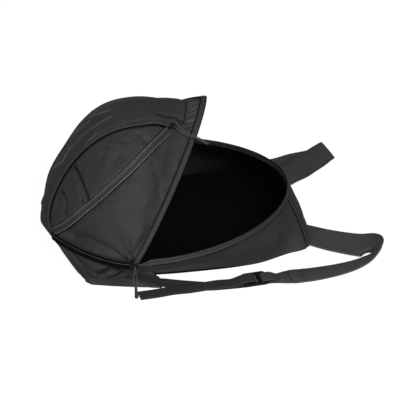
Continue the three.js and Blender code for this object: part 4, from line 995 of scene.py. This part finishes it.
# Sewn tabs at the bottom corners: a skirt from low on the wall down to the tab's own corners on the floor
wingShape = {
    "x": [-67.5, -70.5, -109, -139, -166, -173], "y": [-121, -147.5, -134, -122.5, -111, -102],
    "grid": (120, 40), "thickness": 1.7, "top": 2.7, "tuck": 1.5, "curve": 1.4,
    # its inner edge on the wall: from and to on the outline, share of the height, and where that rises
    "inner": (1.12, 0.46), "climb": (0.1, 0.3), "climbFrom": 0.1, "climbOver": 0.3,
    # rounding and puckers near its outer border, mm, with the border's reach and length
    "reach": 30, "length": 120, "round": 0.9, "roundWidth": 1.6, "pucker": 0.35, "puckerWave": (0.35, 0.2),
    "puckerFade": 6}
underFloor = np.array([-60.0, 0.0, -5000.0])
for side, mirror in bothSides:
    t, s = np.meshgrid(*(np.linspace(0, 1, count) for count in wingShape["grid"]), indexing="ij")
    risen = np.clip((t - wingShape["climbFrom"]) / wingShape["climbOver"], 0, 1)
    climb = wingShape["climb"][0] + np.ptp(wingShape["climb"]) * risen
    inner = trayBare(wingShape["inner"][0] + np.ptp(wingShape["inner"]) * -t, climb)
    inner = inner - levelOut(inner) * wingShape["tuck"]
    corners = np.stack([wingShape["x"], wingShape["y"], np.full(len(wingShape["x"]), wingShape["top"])], -1)
    run = runLength(corners)
    outer = np.stack([np.interp(t, run / run[-1], corners[:, i]) for i in range(3)], -1)
    skirt = inner + (outer - inner) * s[..., None]
    border = np.minimum((1 - s) * wingShape["reach"], np.minimum(t, 1 - t) * wingShape["length"])
    fall = (inner[..., 2] - wingShape["top"]) * (1 - s) ** wingShape["curve"]
    rounding = wingShape["round"] * np.exp(-(border / wingShape["roundWidth"]) ** 2)
    wave = wingShape["puckerWave"][0] * skirt[..., 0] + wingShape["puckerWave"][1] * skirt[..., 1]
    pucker = wingShape["pucker"] * np.sin(wave) * np.clip(border / wingShape["puckerFade"], 0, 1)
    skirt[..., 2] = wingShape["top"] + fall - rounding + pucker
    clothPanel("wingTab_" + side, mirror(skirt), f"strap_wing_{side}", wingShape["thickness"],
               [nylon], underFloor)
print("straps laid")


# Moulded pieces and cords: edge radii in mm, and how far the top of the far expansion cord, which lies
# behind the crown, is pressed down, fading out over the next stretch below
pullShape = {"sliderEdge": 0.35, "gripEdge": 0.7, "lockEdge": 0.4, "edgeSteps": 2, "flatAngle": 0.02,
             "cordLevels": 1, "pressed": 2.6, "pressFade": 6}


def rounded(name, node, material, width, smoothing=0, pressed=0):
    # the CAD solid with its edges bevelled or its facets smoothed
    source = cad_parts[node].data.copy()
    source.materials.clear()
    source.materials.append(material)
    work = bmesh.new()
    work.from_mesh(source)
    bmesh.ops.remove_doubles(work, verts=work.verts, dist=1e-6)
    if width:
        flat = pullShape["flatAngle"]
        bmesh.ops.dissolve_limit(work, angle_limit=flat, verts=work.verts, edges=work.edges)
    work.to_mesh(source)
    work.free()
    if pressed:
        places = np.empty(len(source.vertices) * 3)
        source.vertices.foreach_get("co", places)
        height = places[2::3]
        share = np.clip((height - height.max()) / (pullShape["pressFade"] * millimetre) + 1, 0, 1)
        height -= pressed * millimetre * share
        source.vertices.foreach_set("co", places)
    source.polygons.foreach_set("use_smooth", np.ones(len(source.polygons), bool))
    piece = bpy.data.objects.new(name, source)
    scene.collection.objects.link(piece)
    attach(piece, "root")
    if width:
        bevel = piece.modifiers.new("edge", "BEVEL")
        bevel.width, bevel.segments, bevel.limit_method = width * millimetre, pullShape["edgeSteps"], "ANGLE"
    if smoothing:
        soft = piece.modifiers.new("round", "SUBSURF")
        soft.levels = soft.render_levels = smoothing
    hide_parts(node)


for side, mirror in bothSides:
    for zipName in ("main", "expansion"):
        slider, grip, cord = (f"{zipName}_{part}_{side}" for part in ("slider", "pull_grip", "pull_cord"))
        behind = (side, zipName) == ("far", "expansion")
        rounded(f"{zipName}Slider_{side}", slider, acetal, pullShape["sliderEdge"])
        rounded(f"{zipName}Grip_{side}", grip, gripRubber, pullShape["gripEdge"])
        rounded(f"{zipName}Cord_{side}", cord, cordFibre, 0, pullShape["cordLevels"],
                pullShape["pressed"] if behind else 0)
    rounded(f"ladderLock_{side}", f"ladder_lock_{side}", acetal, pullShape["lockEdge"])
print("sliders, cords and buckles finished")

# Studio: a light table whose glow is kept off the bag, a soft box in front, weaker ones left and behind
studio = {"floorSize": 12.0, "world": "#ffffff", "worldStrength": 0.2,
          "table": {"dark": "#464646", "light": "#4a4a4a", "cloud": 50 / 3, "glow": 0.93},
          "boxes": [{"name": "frontKey", "place": (0.3, -2.3, 1.75), "size": 1.9, "power": 165},
                    {"name": "leftFill", "place": (-2.1, -1.7, 0.9), "size": 1.2, "power": 85},
                    {"name": "backFill", "place": (0.4, 2.7, 0.8), "size": 1.6, "power": 40,
                     "glints": False}]}


def buildStudio():
    # the table, then each soft box turned to face the bag, then the weak light all round
    size = studio["floorSize"] / 2
    corners = [(-size, -size, 0), (size, -size, 0), (size, size, 0), (-size, size, 0)]
    mesh = bpy.data.meshes.new("lightTable")
    mesh.from_pydata(corners, [], [(0, 1, 2, 3)])
    mesh.materials.append(lightTable("milkyAcrylic", studio["table"]))
    floor = bpy.data.objects.new("lightTable", mesh)
    scene.collection.objects.link(floor)
    floor.visible_diffuse = floor.visible_glossy = False
    for box in studio["boxes"]:
        data = bpy.data.lights.new(box["name"], "AREA")
        data.size, data.energy = box["size"], box["power"]
        lamp = bpy.data.objects.new(box["name"], data)
        lamp.location = box["place"]
        lamp.visible_glossy = box.get("glints", True)
        lamp.rotation_euler = (-Vector(box["place"])).to_track_quat("-Z", "Y").to_euler()
        scene.collection.objects.link(lamp)
    world = bpy.data.worlds.new("studioAir")
    world.use_nodes = True
    air = world.node_tree.nodes["Background"]
    air.inputs["Color"].default_value = linear(studio["world"])
    air.inputs["Strength"].default_value = studio["worldStrength"]
    scene.world = world
    scene.view_settings.view_transform = "Standard"


buildStudio()
print("studio lit")
